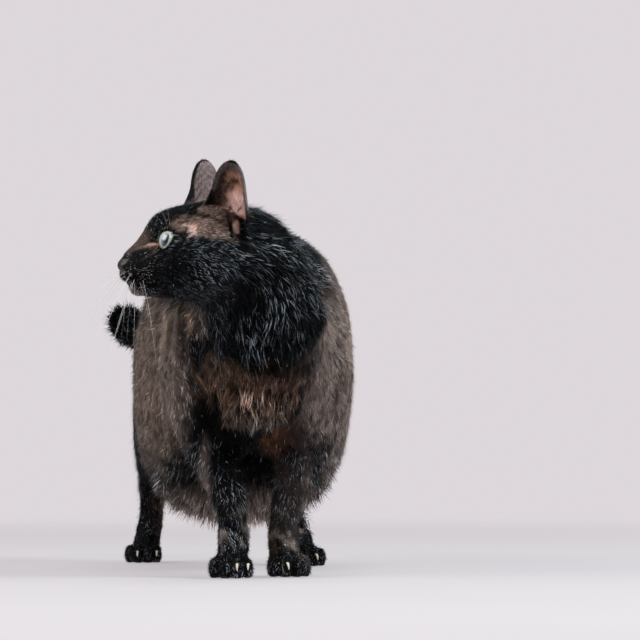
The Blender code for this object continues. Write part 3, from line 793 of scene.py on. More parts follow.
def lidded(local):
    # lays the lids over the ball of the left eye, and leaves the opening behind its surface
    middle, radius = np.array(eyePlan["middle"]), eyePlan["radius"]
    offset = local - middle
    distance = np.linalg.norm(offset, axis=1)
    ray = offset / np.maximum(distance, 1e-9)[:, None]
    outside, facing = outsideLids(ray)
    lid = radius + eyePlan["clear"] + eyePlan["lid"] * ramp(outside, 0.0, eyePlan["lidRise"])
    target = np.where(outside < 0, radius - eyePlan["sunk"], lid)
    gap = np.clip(distance - lid - 0.0025, 0, 1) * ramp(outside, 0.0, 0.0050)
    share = 1 - ramp(np.hypot(np.clip(outside, 0, 1), gap), 0.0016, eyePlan["blend"])
    share *= ramp(facing, 0.0, 0.35) * ramp(local[:, 0], 0.001, 0.006) * (distance < 0.030)
    return middle + ray * (distance + (target - distance) * share)[:, None]


def sculptHead(skin):
    points = pointsOf(skin.data)
    local = toHead(points)
    chosen = np.linalg.norm(local - np.array(faceReach["middle"]), axis=1) < faceReach["radius"]
    face = local[chosen]
    mirror = np.array([-1.0, 1.0, 1.0])
    for middle, reach, move in facePushes.values():
        face = pushed(face, middle, reach, move)
        if middle[0] > 0:
            face = pushed(face * mirror, middle, reach, move) * mirror
    normals = normalsOf(skin.data)[chosen] @ headTurn
    for path, width, depth in faceGrooves.values():
        face = face - normals * (depth * nearPath(onLeft(face), path, width))[:, None]
    face = lidded(face)
    face = lidded(face * mirror) * mirror
    local[chosen] = face
    setPoints(skin.data, fromHead(local))
    softenLids(skin)


def softenLids(skin):
    # evens out the faces that the lids have stretched
    offset = onLeft(toHead(pointsOf(skin.data))) - np.array(eyePlan["middle"])
    outside, _ = outsideLids(unit(offset))
    far = np.linalg.norm(offset, axis=1)
    smoothed(skin, ramp(outside, 0.0004, 0.0016) * (1 - ramp(far, 0.018, 0.024)), eyePlan["lidSoftening"])


def lidRim(side):
    # a soft rounded edge along the opening between the lids
    out, along, rise = lidAxes()
    middle, radius = np.array(eyePlan["middle"]), eyePlan["radius"]
    places = []
    for turn in np.linspace(0, 2 * math.pi, eyePlan["rimSteps"], endpoint=False):
        u = eyePlan["halfWidth"] * math.cos(turn)
        height = eyePlan["upper"] if math.sin(turn) > 0 else eyePlan["lower"]
        corner = eyePlan["corner"]
        v = math.sqrt((height * math.sin(turn) ** 2 + corner) ** 2 - corner ** 2)
        v = math.copysign(v, math.sin(turn))
        angle = math.hypot(u, v) / radius
        aside = (along * u + rise * v) / max(math.hypot(u, v), 1e-9)
        place = middle + (radius + 0.0001) * (out * math.cos(angle) + aside * math.sin(angle))
        places.append(fromHead(place * np.array([side, 1, 1])))
    return roundBar("lidRim", places, [eyePlan["rim"]] * len(places), 2, True)


skin = joinedFlesh()
print("skin joined", len(skin.data.polygons))
softened(skin)
drawnIn(skin)
foldedBody(skin)
print("skin softened and drawn in")
thinned(skin)
finerFace(skin)
sculptHead(skin)
print("head sculpted", len(skin.data.polygons))


def earRim(points):
    # how near a place on either face of an ear is to its edge
    rim = np.zeros(len(points))
    for name in earNames:
        level, across, before = earPlaces(name, points)
        edge = np.maximum(ramp(np.abs(shareAcross(level, across)), 0.93, 0.99), ramp(level, 0.95, 0.985))
        rim = np.maximum(rim, nearEar(across, before) * edge)
    return rim


def earSurface(name):
    # the pinna as one cupped sheet that Solidify gives its thickness
    base, height, up, opening, across, mirror = earAxes(name)
    wrap = math.radians(earPlan["wrap"])
    rows, columns = earPlan["rows"], earPlan["columns"]
    bpy.ops.mesh.primitive_grid_add(x_subdivisions=columns, y_subdivisions=rows, size=1)
    ear = bpy.context.object
    ear.name = ear.data.name = name + "_shell"
    flat = pointsOf(ear.data)
    j, i = flat[:, 0] * 2, flat[:, 1] + 0.5
    v = (1 + earPlan["root"]) * i - earPlan["root"]
    width = earWidth(v)
    angle = wrap * j
    back = (np.cos(angle) - math.cos(wrap)) / (1 - math.cos(wrap))
    # the front edge rolls in a little, and ridges run up inside the cup
    ridge = 0.0011 * np.sin(angle * 5.5 + 1.2) * (1 - ramp(np.abs(j), 0.55, 0.95)) * (1 - ramp(v, 0.30, 0.75))
    place = base + up * (height * v)[:, None]
    narrowed = 1 - earPlan["narrower"] * ramp(v, 0.05, 0.60) * (j > 0)
    half = earPlan["halfWidth"] * narrowed * width
    place = place + across * (half * np.sin(angle) / math.sin(wrap))[:, None]
    place = place - opening * (earPlan["depth"] * width * back - ridge)[:, None]
    flare = earPlan["flare"] * (1 - ramp(v, -0.10, 0.50)) * ramp(-j, 0.1, 1.0)
    place = place + np.array([-0.15, -1.0, 0.0]) * flare[:, None]
    setPoints(ear.data, fromHead(place * mirror))
    shell = ear.modifiers.new("thickness", "SOLIDIFY")
    shell.thickness = earPlan["thickness"]
    shell.offset = 0.0
    shell.use_even_offset = False
    applyModifiers(ear)
    normalsOutward(ear)
    bpy.ops.object.shade_smooth()
    return ear


def joinEars(skin):
    for name in earNames:
        ear = earSurface(name)
        union = skin.modifiers.new("ear", "BOOLEAN")
        union.operation = "UNION"
        union.solver = "MANIFOLD"
        union.object = ear
        applyModifiers(skin)
        bpy.data.objects.remove(ear)
    makeActive(skin)
    bpy.ops.object.shade_smooth()


joinEars(skin)
joinAll([skin, lidRim(1), lidRim(-1)])
print("ears joined", len(skin.data.polygons))


# How the coat lies: places, and the way it runs there. Those of the head are in its frame. Those of head and
# body are given for the left side and used on both.
headLie = (
    ((0, -0.055, 0.002), (0, 1, 0.45)), ((0, -0.030, 0.030), (0, 1, 0.25)), ((0, 0, 0.037), (0, 1, 0)),
    ((0, 0.030, 0.035), (0, 1, -0.3)), ((0.020, -0.022, 0.022), (0.35, 1, 0.25)),
    ((0.030, -0.005, 0.015), (0.3, 1, 0.1)), ((0.025, -0.030, -0.008), (0.45, 1, -0.15)),
    ((0.012, -0.050, -0.019), (0.5, 1, -0.25)), ((0, -0.048, -0.034), (0, 1, -0.2)),
    ((0.020, -0.020, -0.030), (0.25, 1, -0.5)), ((0.038, 0, -0.015), (0.1, 1, -0.75)),
    ((0, -0.010, -0.040), (0, 1, -0.4)), ((0.014, -0.034, 0.010), (0.3, 0.6, 0.8)),
)
bodyLie = (
    ((0, -0.150, 0.270), (0, 1, -0.05)), ((0.040, -0.190, 0.230), (0.1, 0.70, -0.70)),
    ((0, -0.235, 0.190), (0, 0.15, -1)), ((0, -0.220, 0.140), (0, 0.1, -1)),
    ((0.050, -0.165, 0.200), (0.1, 0.6, -0.8)), ((0, 0, 0.280), (0, 1, 0)),
    ((0, 0.100, 0.260), (0, 1, -0.15)), ((0.090, 0, 0.160), (0, 0.8, -0.6)),
    ((0.080, 0, 0.090), (0, 0.75, -0.65)), ((0, 0, 0.040), (0, 1, -0.1)),
    ((0, -0.120, 0.070), (0, 1, -0.3)), ((0.050, 0.130, 0.200), (0, 0.5, -0.85)),
    ((0.035, -0.165, 0.100), (0.1, 0.3, -1)), ((0.030, -0.170, 0.055), (0, 0.2, -1)),
    ((0.060, 0.040, 0.150), (0, 0.45, -0.9)), ((0.055, 0.070, 0.080), (0, 0.3, -1)),
)
tailLie = (
    ((0.003, 0.165, 0.212), (0, 1, -0.05)), ((0.010, 0.205, 0.205), (-0.1, 1, 0)),
    ((-0.005, 0.245, 0.201), (-0.7, 0.7, 0)), ((-0.033, 0.258, 0.201), (-1, 0, 0)),
    ((-0.055, 0.243, 0.206), (-0.6, -0.8, 0)), ((-0.065, 0.210, 0.210), (-0.2, -1, 0.05)),
    ((-0.069, 0.185, 0.213), (-0.1, -1, 0)),
)
neckLie = (
    ((0.012, -0.215, 0.215), (0.50, 0.1, -0.85)), ((0.038, -0.190, 0.235), (0.60, 0.3, -0.70)),
    ((-0.006, -0.235, 0.185), (0.35, 0.05, -0.95)), ((0.040, -0.212, 0.190), (-0.15, 0.1, -0.95)),
    ((-0.036, -0.205, 0.190), (0.30, 0, -0.95)), ((0.030, -0.195, 0.255), (0.75, 0.4, -0.55)),
)
pawLie = (
    ((0, -0.008, 0.010), (0, -1, -0.3)), ((0, -0.022, 0), (0, -0.6, -0.8)), ((0, 0.020, 0), (0, 0.1, -1)),
    ((0.016, -0.008, 0), (0.2, -0.8, -0.6)), ((-0.016, -0.008, 0), (-0.2, -0.8, -0.6)),
)


def lieGuides():
    places, ways = [], []
    for place, way in headLie:
        for side in (1, -1):
            mirror = np.array([side, 1, 1])
            places.append(fromHead(np.array(place) * mirror))
            ways.append((np.array(way) * mirror) @ headTurn.T)
    for place, way in bodyLie:
        for side in (1, -1):
            places.append(np.array(place) * [side, 1, 1] + bodyPlace)
            ways.append(np.array(way, float) * [side, 1, 1])
    for place, way in tailLie + neckLie:
        places.append(np.array(place) + bodyPlace)
        ways.append(np.array(way, float))
    for name in pawNames:
        for offset, way in pawLie:
            places.append(np.array(middleOf(name)) + offset)
            ways.append(np.array(way, float))
    return np.array(places), unit(np.array(ways))


def lieAt(points, normals):
    # the way the coat runs at each place, flat on the skin
    places, ways = lieGuides()
    total = np.zeros_like(points)
    for place, way in zip(places, ways):
        near = np.sum((points - place) ** 2, axis=1) + 1e-5
        total += way / (near ** 2)[:, None]
    total = unit(total)
    ears = earShare(points)
    for name in earNames:
        _, _, up, _, across, mirror = earAxes(name)
        _, aside, before = earPlaces(name, points)
        upward = (up + across * (aside * 14)[:, None]) * mirror @ headTurn.T
        share = (ears * nearEar(aside, before))[:, None]
        total = total * (1 - share) + unit(upward) * share
    flat = total - normals * np.sum(total * normals, axis=1)[:, None]
    return unit(flat)


# Colours of the coat, of the skin under it and of the bare places, and those of painted shade and painted
# highlights.
markingAndPaintedLightPlan = {
    "black": (0.0034, 0.0040, 0.0046),
    "brown": (0.085, 0.050, 0.034),
    "rust": (0.120, 0.052, 0.025),
    "flank": (0.175, 0.132, 0.106),
    "paleFlank": (0.225, 0.178, 0.155),
    # painted highlight: tan is drawn along the ridges of loose skin
    "tan": (0.460, 0.300, 0.190),
    "fringe": (0.480, 0.395, 0.345),
    "greyBrown": (0.120, 0.084, 0.070),
    "darkBrown": (0.014, 0.010, 0.009),
    "earBack": (0.135, 0.102, 0.098),
    "bridge": (0.044, 0.034, 0.031),
    # near-black, darker than the coat; in hollows, creases and grooves it is painted shade
    "deep": (0.0016, 0.0014, 0.0015),
    "pink": (0.42, 0.265, 0.215),
    "palePink": (0.74, 0.52, 0.46),
    "beige": (0.46, 0.31, 0.24),
    "leather": (0.024, 0.020, 0.020),
    "earPink": (0.56, 0.345, 0.305),
    "earBrown": (0.27, 0.145, 0.098),
    "earDark": (0.020, 0.013, 0.011),
    "white": (0.62, 0.60, 0.58),
}
# The light strokes in the coat: painted highlights of sheen on some of its tufts.
strokePlan = {
    "share": 0.17,              # of the tufts that have one
    "own": 2.1,                 # how much lighter it makes the tuft's own colour
    "paintedSheen": (0.235, 0.270, 0.305),
    "patch": 0.010,             # size of the patches with more and fewer of them
    "wander": 0.45,             # how much these patches differ
    "wider": 1.15,              # such a tuft, than the others
    "dark": 0.42,               # share of dark strands where the coat is mottled
    "region": {"muzzle": 0.5, "face": 1.25, "neck": 1.1, "leg": 2.2, "paw": 2.7, "tail": 0.9},
}
# Patches: middle, radii, colour, and how bare the skin is. The head's are in its frame and on both sides.
headPatches = {
    "templeFront": ((0.0250, -0.0185, 0.0210), (0.011, 0.0100, 0.0075), "greyBrown", 0.25),
    "temple": ((0.0300, -0.0010, 0.0195), (0.014, 0.0190, 0.0100), "greyBrown", 0.22),
    "templeBack": ((0.0290, 0.0120, 0.0215), (0.014, 0.0120, 0.0150), "greyBrown", 0.18),
    "innerCorner": ((0.0120, -0.0364, 0.0016), (0.0052, 0.0052, 0.0042), "beige", 0.97),
    "templeTop": ((0.0190, 0.0060, 0.0315), (0.0095, 0.0120, 0.0070), "greyBrown", 0.18),
    "bridge": ((0.0, -0.0480, 0.0060), (0.0105, 0.0140, 0.0110), "bridge", 0.12),
    "chin": ((0.0, -0.0490, -0.0330), (0.0120, 0.0085, 0.0060), "greyBrown", 0.0),
    "browStroke": ((0.0215, -0.0265, 0.0150), (0.0060, 0.0080, 0.0016), "deep", 0.0),
    "muzzleSide": ((0.0120, -0.0500, -0.0190), (0.0110, 0.0120, 0.0100), "deep", 0.0),
}
# Here the last value says how much of its colour a patch has.
bodyPatches = {
    "trunk": ((0.012, -0.020, 0.150), (0.120, 0.180, 0.130), "darkBrown", 0.9),
    "breast": ((-0.003, -0.220, 0.149), (0.060, 0.045, 0.024), "brown", 0.85),
    "breastTips": ((-0.006, -0.210, 0.130), (0.030, 0.030, 0.010), "flank", 0.45),
    "rightFlank": ((-0.080, -0.095, 0.150), (0.052, 0.105, 0.088), "flank", 0.95),
    "folds": ((-0.058, -0.160, 0.160), (0.017, 0.034, 0.052), "paleFlank", 0.85),
    "neckFold": ((-0.040, -0.180, 0.200), (0.018, 0.026, 0.016), "flank", 0.60),
    "leftFlank": ((0.092, -0.095, 0.165), (0.050, 0.125, 0.100), "paleFlank", 0.95),
    # painted light: the front of the left shoulder is painted paler where the lamp falls on it
    "shoulder": ((0.060, -0.178, 0.165), (0.032, 0.040, 0.062), "paleFlank", 0.90),
    "belly": ((0.010, -0.055, 0.046), (0.082, 0.115, 0.032), "paleFlank", 0.75),
    # painted shade: the shadow side of the right elbow is painted black
    "elbowShadowSide": ((-0.046, -0.130, 0.083), (0.016, 0.050, 0.017), "black", 0.95),
    # painted shade: the hollow between the forelegs, the right armpit and the band under the ruff are painted
    # near-black
    "hollow": ((0.003, -0.155, 0.097), (0.036, 0.062, 0.030), "deep", 1.0),
    "rightArmpit": ((-0.031, -0.180, 0.122), (0.011, 0.022, 0.022), "deep", 1.0),
    "underRuff": ((0.012, -0.230, 0.163), (0.034, 0.020, 0.006), "deep", 0.90),
    "breastRust": ((0.0235, -0.186, 0.104), (0.0130, 0.030, 0.0260), "rust", 0.62),
    # painted light: rim light along the outer edge of the right foreleg
    "legEdge": ((-0.033, -0.172, 0.072), (0.006, 0.014, 0.042), "paleFlank", 0.80),
    "rightLegInside": ((0.0060, -0.190, 0.035), (0.0050, 0.020, 0.026), "brown", 0.95),
    "leftLegInside": ((0.0180, -0.175, 0.040), (0.0060, 0.020, 0.032), "brown", 0.95),
    # painted light: rim light along the outer edge of the left foreleg
    "leftLegRimLight": ((0.0470, -0.172, 0.050), (0.0080, 0.020, 0.040), "paleFlank", 0.85),
    "leftFore": ((0.036, -0.176, 0.055), (0.024, 0.034, 0.050), "bridge", 0.85),
    "hindInside": ((-0.038, 0.124, 0.055), (0.014, 0.030, 0.045), "brown", 0.90),
    "hindBlack": ((-0.062, 0.080, 0.060), (0.030, 0.050, 0.070), "black", 0.95),
    "fringe": ((0.010, -0.060, 0.033), (0.075, 0.120, 0.016), "fringe", 0.85),
}


def waves(points, size, seed):
    # a smooth wandering value between about -1 and 1
    source = np.random.default_rng(seed)
    total = np.zeros(len(points))
    for _ in range(6):
        way = source.normal(size=3) / size
        total += np.sin(points @ way * 2.2 + source.uniform(0, 6.3))
    return total / 2.8


def mixed(colour, name, share):
    return colour + (np.array(markingAndPaintedLightPlan[name]) - colour) * share[:, None]


def markingsAndPaintedLightAt(points, normals):
    # colour of coat and skin, with painted shade and highlights, how bare each place is and its coat's painted
    # sheen
    local = toHead(points)
    folded = onLeft(local)
    wobble = 0.18 * waves(points, 0.004, 5) + 0.10 * waves(points, 0.0015, 6)
    coat = np.tile(markingAndPaintedLightPlan["black"], (len(points), 1))
    bare, paintedSheen = np.zeros(len(points)), np.ones(len(points))
    for middle, radii, name, bareness in headPatches.values():
        share = patchShare(folded, middle, radii, wobble)
        coat = mixed(coat, name, share)
        paintedSheen *= 1 - share * (0.7 if name == "deep" else 0.5)
        bare = np.maximum(bare, bareness * share)
    broad = 0.30 * waves(points, 0.020, 7) + 0.22 * waves(points, 0.007, 8)
    for middle, radii, name, most in bodyPatches.values():
        if "lank" in name:
            away = np.linalg.norm((toBody(points) - np.array(middle)) / np.array(radii), axis=1)
            share = most * (1 - ramp(away + 0.25 * broad, 0.45, 1.30))
        else:
            share = most * patchShare(toBody(points), middle, radii, broad)
        coat = mixed(coat, name, share)
        dulled = {"deep": 1.5, "black": 0.3, "bridge": 0.0, "darkBrown": 0.2}.get(name, 0.75)
        paintedSheen *= 1 - np.minimum(share * dulled, 1)
    # painted highlight in tan along each ridge of loose skin, and painted shade in the grooves of the flanks
    for name, (path, width, depth) in bodyFolds.items():
        line = nearPath(toBody(points), path, 0.60 * width)
        if depth < 0:
            coat = mixed(coat, "tan", 0.62 * line)
        elif "flank" in name.lower():
            coat = coat * (1 - 0.72 * line)[:, None]
    # painted shade in the grooves between the toes
    coat = mixed(coat, "deep", 0.85 * toeGrooveShare(points))
    hide = mixed(coat * 0.6, "pink", bare)
    pale = patchShare(folded, *palePatch, 2.4 * wobble)
    hide = mixed(hide, "palePink", 0.70 * pale)
    coat = mixed(coat, "pink", 0.75 * pale)
    bare = np.maximum(bare, 0.45 * pale)
    hide = mixed(hide, "beige", patchShare(folded, *headPatches["innerCorner"][:2], 0.5 * wobble))
    hide = mixed(hide, "deep", nearPath(folded, *lineAt["tearDuct"]))
    hide = mixed(hide, "greyBrown", patchShare(folded, *headPatches["chin"][:2], wobble))
    leather = noseShare(local)
    hide = mixed(hide, "leather", leather)
    bare = np.maximum(bare, leather)
    inside, rim = earInside(points, normals)
    lining = earLining(points)
    hide += (lining * (1 - 0.90 * rim)[:, None] - hide) * inside[:, None]
    covered = ramp(earAcross(points), -0.58, -0.80) * inside
    bare = np.maximum(bare, inside * (0.93 - 0.45 * rim) * (1 - 0.75 * covered))
    coat = mixed(coat, "greyBrown", 0.55 * covered)
    flap, gap = nearPath(folded, *lineAt["flap"]), nearPath(folded, *lineAt["gap"])
    # painted shade in the gap behind the ear's flap, which is pink skin
    hide = mixed(mixed(hide, "pink", ramp(flap, 0.3, 0.6)), "deep", ramp(gap, 0.3, 0.6))
    coat = mixed(coat, "deep", ramp(gap, 0.3, 0.6))
    bare = np.maximum(bare, 0.95 * np.maximum(ramp(flap, 0.3, 0.6), ramp(gap, 0.4, 0.7)))
    outer = earShare(points) * (1 - inside)
    grain = 1 + 0.45 * waves(points, 0.0011, 14)
    coat = mixed(coat, "earBack", 0.9 * outer * (1 - earRim(points)))
    hide = mixed(hide, "earBack", 0.9 * outer * (1 - earRim(points)))
    hide = hide * (1 + (grain - 1) * np.maximum(outer, 0.6 * inside))[:, None]
    paintedSheen *= 1 - 0.8 * np.maximum(outer, inside)
    return coat, hide, bare, paintedSheen


# The palest skin, beside the eyes, and lines at the edges of ears and eyes with their width, all in the
# head's frame and on both sides.
palePatch = ((0.0300, -0.0118, 0.0168), (0.0090, 0.0046, 0.0052))
lineAt = {
    # the gap behind the ear's flap, where skin and coat are painted in shade
    "gap": (
        ((0.0205, 0.0190, 0.0310), (0.0260, 0.0190, 0.0250), (0.0305, 0.0188, 0.0170),
         (0.0330, 0.0185, 0.0110)), 0.0022),
    "flap": (
        ((0.0278, 0.0290, 0.0340), (0.0262, 0.0258, 0.0262), (0.0300, 0.0228, 0.0195),
         (0.0318, 0.0232, 0.0160)), 0.0026),
    "tearDuct": (
        ((0.0122, -0.0326, 0.0046), (0.0136, -0.0330, 0.0022), (0.0154, -0.0320, 0.0002)), 0.0014),
}
# Folds inside an ear, as places (across, height) in shares of its half width and height, and half width.
# their dark lines are painted shade
earFolds = (
    (((-0.60, 0.40), (-0.52, 0.52), (-0.28, 0.61), (0.08, 0.635)), 0.050),
    (((-0.36, 0.47), (-0.22, 0.50)), 0.050),
    (((0.40, 0.75), (0.46, 0.58), (0.47, 0.42), (0.38, 0.24), (0.12, 0.11)), 0.028),
    (((-0.62, 0.30), (-0.40, 0.20), (-0.24, 0.12), (-0.20, 0.02)), 0.040),
)


def earAcross(points):
    # the place across the ear on that side of the head
    local = toHead(points)
    total = np.zeros(len(points))
    for name, side in (("ear_left", 1), ("ear_right", -1)):
        level, across, _ = earPlaces(name, points)
        total = np.where(local[:, 0] * side > 0, shareAcross(level, across), total)
    return np.clip(total, -1.2, 1.2)


def earLining(points):
    # the colours inside an ear: dark at the tip and along the front, brown, and pink at the back of the bowl
    local = toHead(points)
    level = np.where(local[:, 0] > 0, earPlaces("ear_left", points)[0], earPlaces("ear_right", points)[0])
    aside = earAcross(points)
    fine = waves(points * np.array([1, 1, 0.35]), 0.0013, 9)
    broad = waves(points, 0.0035, 10)
    lining = np.tile(markingAndPaintedLightPlan["earBrown"], (len(points), 1)) * (1 + 0.35 * broad + 0.30 * fine)[:, None]
    bowl = 1 - ramp(np.hypot((aside - 0.02) / 0.62, (level - 0.25) / 0.22) + 0.15 * fine, 0.70, 1.25)
    lining = mixed(lining, "earPink", bowl)
    lining = mixed(lining, "pink", 0.7 * ramp(aside, 0.48, 0.62) * (1 - ramp(level, 0.35, 0.60)))
    lining = mixed(lining, "earDark", ramp(level + 0.05 * broad, 0.80, 0.93))
    lining = mixed(lining, "earDark", ramp(aside + 0.07 * fine, -0.40, -0.80))
    # painted shade: dark lines along the folds inside the ear
    for path, width in earFolds:
        line = nearPath(np.stack((aside, level), axis=1), path, width)
        lining = mixed(lining, "earDark", 0.92 * line * ramp(fine, -1.2, 0.0))
    return lining


nosePlan = {
    "back": (-0.0545, -0.0515),
    "foot": (-0.0180, -0.0165),
    "top": (-0.0085, -0.0060),
    "halfWidth": 0.0060,        # at mid height
    "midHeight": -0.012,
    "wider": 0.50,              # upwards
    "edge": 0.0016,
}


def noseShare(local):
    # the bare leather of the nose
    inFront = 1 - ramp(local[:, 1], *nosePlan["back"])
    height = ramp(local[:, 2], *nosePlan["foot"]) * (1 - ramp(local[:, 2], *nosePlan["top"]))
    half = nosePlan["halfWidth"] + nosePlan["wider"] * (local[:, 2] - nosePlan["midHeight"])
    width = 1 - ramp(np.abs(local[:, 0]), half, half + nosePlan["edge"])
    return inFront * height * width


def unwrappedCopy(piece, faces):
    # a light copy of the skin with an unwrap of its own shape, for the tufts' places on it
    copy = piece.copy()
    copy.data = piece.data.copy()
    bpy.context.scene.collection.objects.link(copy)
    thin = copy.modifiers.new("thin", "DECIMATE")
    thin.ratio = faces / len(copy.data.polygons)
    applyModifiers(copy)
    makeActive(copy)
    bpy.ops.object.mode_set(mode="EDIT")
    bpy.ops.mesh.select_all(action="SELECT")
    bpy.ops.mesh.quads_convert_to_tris()
    bpy.ops.uv.smart_project(angle_limit=math.radians(66), island_margin=0.004)
    bpy.ops.object.mode_set(mode="OBJECT")
    return copy


def unwrapPlaces(copy, points):
    # where each point lies on the unwrap, by its place in the nearest triangle
    mesh = copy.data
    tree = BVHTree.FromPolygons([v.co for v in mesh.vertices], [tuple(p.vertices) for p in mesh.polygons])
    uv = valuesOf(mesh.uv_layers.active.data, "uv", 2).reshape(-1, 3, 2).astype(float)
    corner = pointsOf(mesh)[valuesOf(mesh.polygons, "vertices", 3, np.int32)]
    found = [tree.find_nearest(Vector(point)) for point in points]
    index = np.array([hit[2] for hit in found])
    place = np.array([hit[0] for hit in found])
    a, b, c = corner[index, 0], corner[index, 1], corner[index, 2]
    ab, ac, ap = b - a, c - a, place - a
    d00, d01, d11 = (ab * ab).sum(1), (ab * ac).sum(1), (ac * ac).sum(1)
    d20, d21 = (ap * ab).sum(1), (ap * ac).sum(1)
    span = np.maximum(d00 * d11 - d01 * d01, 1e-20)
    second, third = (d11 * d20 - d01 * d21) / span, (d00 * d21 - d01 * d20) / span
    first = 1 - second - third
    return uv[index, 0] * first[:, None] + uv[index, 1] * second[:, None] + uv[index, 2] * third[:, None]


def scatterRoots(skin, seed):
    # roots spread over the skin, more of them where the coat is fine
    source = np.random.default_rng(seed)
    mesh = skin.data
    mesh.calc_loop_triangles()
    corners = valuesOf(mesh.loop_triangles, "vertices", 3, np.int32)
    points, normals = pointsOf(mesh), normalsOf(mesh)
    a, b, c = points[corners[:, 0]], points[corners[:, 1]], points[corners[:, 2]]
    area = np.linalg.norm(np.cross(b - a, c - a), axis=1) / 2
    middles = (a + b + c) / 3
    density = coatValue(regionShares(middles), "perCm") * 1e4
    bare = markingsAndPaintedLightAt(middles, unit(np.cross(b - a, c - a)))[2]
    wanted = area * density * (1 - bare) * coveredShare(middles)
    count = int(wanted.sum())
    steps = (np.arange(count) + source.uniform(0, 1, count)) / count * wanted.sum()
    chosen = np.minimum(np.searchsorted(np.cumsum(wanted), steps), len(wanted) - 1)
    s, t = source.uniform(0, 1, count), source.uniform(0, 1, count)
    flip = s + t > 1
    s, t = np.where(flip, 1 - s, s), np.where(flip, 1 - t, t)
    weights = np.stack((1 - s - t, s, t), axis=1)
    roots = sum(weights[:, k:k + 1] * points[corners[chosen, k]] for k in range(3))
    outward = unit(sum(weights[:, k:k + 1] * normals[corners[chosen, k]] for k in range(3)))
    return roots, outward


def coveredShare(points):
    # no coat on the soles, in the openings of the eyes and on the lips' edge
    soles = ramp(points[:, 2], 0.0012, 0.0030)
    folded = onLeft(toHead(points))
    fromEye = np.linalg.norm(folded - np.array(eyePlan["middle"]), axis=1)
    eyes = ramp(fromEye, eyePlan["radius"] + eyePlan["clear"], eyePlan["radius"] + 0.0006)
    lips = ramp(distanceToPath(folded, faceGrooves["mouth"][0]), 0.0012, 0.0022)
    return soles * eyes * lips


# Stray tufts leave their lock and stand off the coat.
coatStray = {"share": 0.15, "longer": 0.95, "thinner": 0.65, "lift": 2.8, "tuftsToALock": 12}
# What the chance in each tuft does: the least and the most of its length, width, lift and bend.
tuftPlan = {
    "length": (0.75, 1.20),
    "width": (0.7, 1.25),
    "lift": (0.6, 1.4),
    "lockLift": (0.45, 1.55),
    "pull": (0.6, 1.1),
    "strayBend": (0.5, 1.1),
    "bend": (-0.3, 0.5),
    "whiteLength": 0.62,
    "whiteWidth": {"muzzle": 2.0, "face": 0.8, "paw": 0.5},     # over 0.70
    "ridgeShorter": 0.38,
    "ridgeThinner": 0.3,
    "turn": (0.13, 0.24),           # of a tuft and of its lock
    "rootDepth": 0.0004,
    "thickness": 0.27,
    "lowest": 0.0003,
}


def lockLeaders(roots, source):
    # every tuft belongs to the lock of the leader nearest to it
    leaders = source.choice(len(roots), len(roots) // coatStray["tuftsToALock"], replace=False)
    tree = KDTree(len(leaders))
    for number, leader in enumerate(leaders):
        tree.insert(roots[leader], number)
    tree.balance()
    return leaders[np.array([tree.find(root)[1] for root in roots])], source.uniform(0, 1, len(roots))


def gathered(places, roots, length, owner, pull, share=1.0):
    # draws neighbours together, as a lock
    step = (places[owner] - roots[owner]) * (length / np.maximum(length[owner], 1e-6))[:, None]
    goal = roots + step + (roots[owner] - roots) * 0.75 * share
    return places + (goal - places) * pull[:, None]


# A tuft's shape: which of its seven corners it keeps, its faces, how far along it each corner lies, and the
# patch that it takes on the unwrap.
tuftKinds = {
    "short": {
        "upTo": 0.0100,
        "perPiece": 48000,
        "kept": [0, 1, 2, 6],
        "faces": ((0, 1, 3), (1, 2, 3), (2, 0, 3), (1, 0, 2)),
        "along": (0, 0, 0, 1),
        "spread": ((-0.0010, -0.0012), (0.0010, -0.0012), (0, -0.0012), (0, 0.0012)),
    },
    "long": {
        "perPiece": 19000,
        "kept": [0, 1, 2, 3, 4, 5, 6],
        "faces": ((0, 1, 4, 3), (1, 2, 5, 4), (2, 0, 3, 5), (3, 4, 6), (4, 5, 6), (5, 3, 6), (1, 0, 2)),
        "along": (0, 0, 0, 0.5, 0.5, 0.5, 1),
        "spread": ((-0.0010, -0.0012), (0.0010, -0.0012), (0, -0.0012), (-0.0008, 0), (0.0008, 0), (0, 0),
                   (0, 0.0012)),
    },
}


def tuftPiece(name, kind, corners, colour, chance, uvs):
    # many tufts as one mesh, each with its patch on the unwrap
    plan = tuftKinds[kind]
    count, points = corners.shape[:2]
    mesh = bpy.data.meshes.new(name)
    mesh.vertices.add(count * points)
    mesh.vertices.foreach_set("co", corners.astype(np.float32).ravel())
    one = [v for face in plan["faces"] for v in face]
    loops = (np.array(one)[None, :] + points * np.arange(count)[:, None]).ravel()
    sizes = np.tile([len(face) for face in plan["faces"]], count)
    mesh.loops.add(len(loops))
    mesh.loops.foreach_set("vertex_index", loops.astype(np.int32))
    mesh.polygons.add(len(sizes))
    mesh.polygons.foreach_set("loop_start", (np.cumsum(sizes) - sizes).astype(np.int32))
    mesh.update(calc_edges=True)
    mesh.polygons.foreach_set("use_smooth", np.ones(len(sizes), bool))
    layer = mesh.uv_layers.new(name="OFBake")
    flat = (uvs[:, None, :] + np.array(plan["spread"])[None, :, :]).reshape(-1, 2)
    layer.data.foreach_set("uv", flat[loops].astype(np.float32).ravel())
    giveValues(mesh, "tint", np.repeat(colour, points, axis=0))
    giveValues(mesh, "along", np.tile(np.array(plan["along"], float), count))
    giveValues(mesh, "chance", np.repeat(chance, points))
    mesh.validate()
    return newPiece(name, mesh)


def stepAlong(way, outward, lift, length):
    # half a tuft's length, lifted off the skin
    return (way * np.cos(lift)[:, None] + outward * np.sin(lift)[:, None]) * (length * 0.5)[:, None]


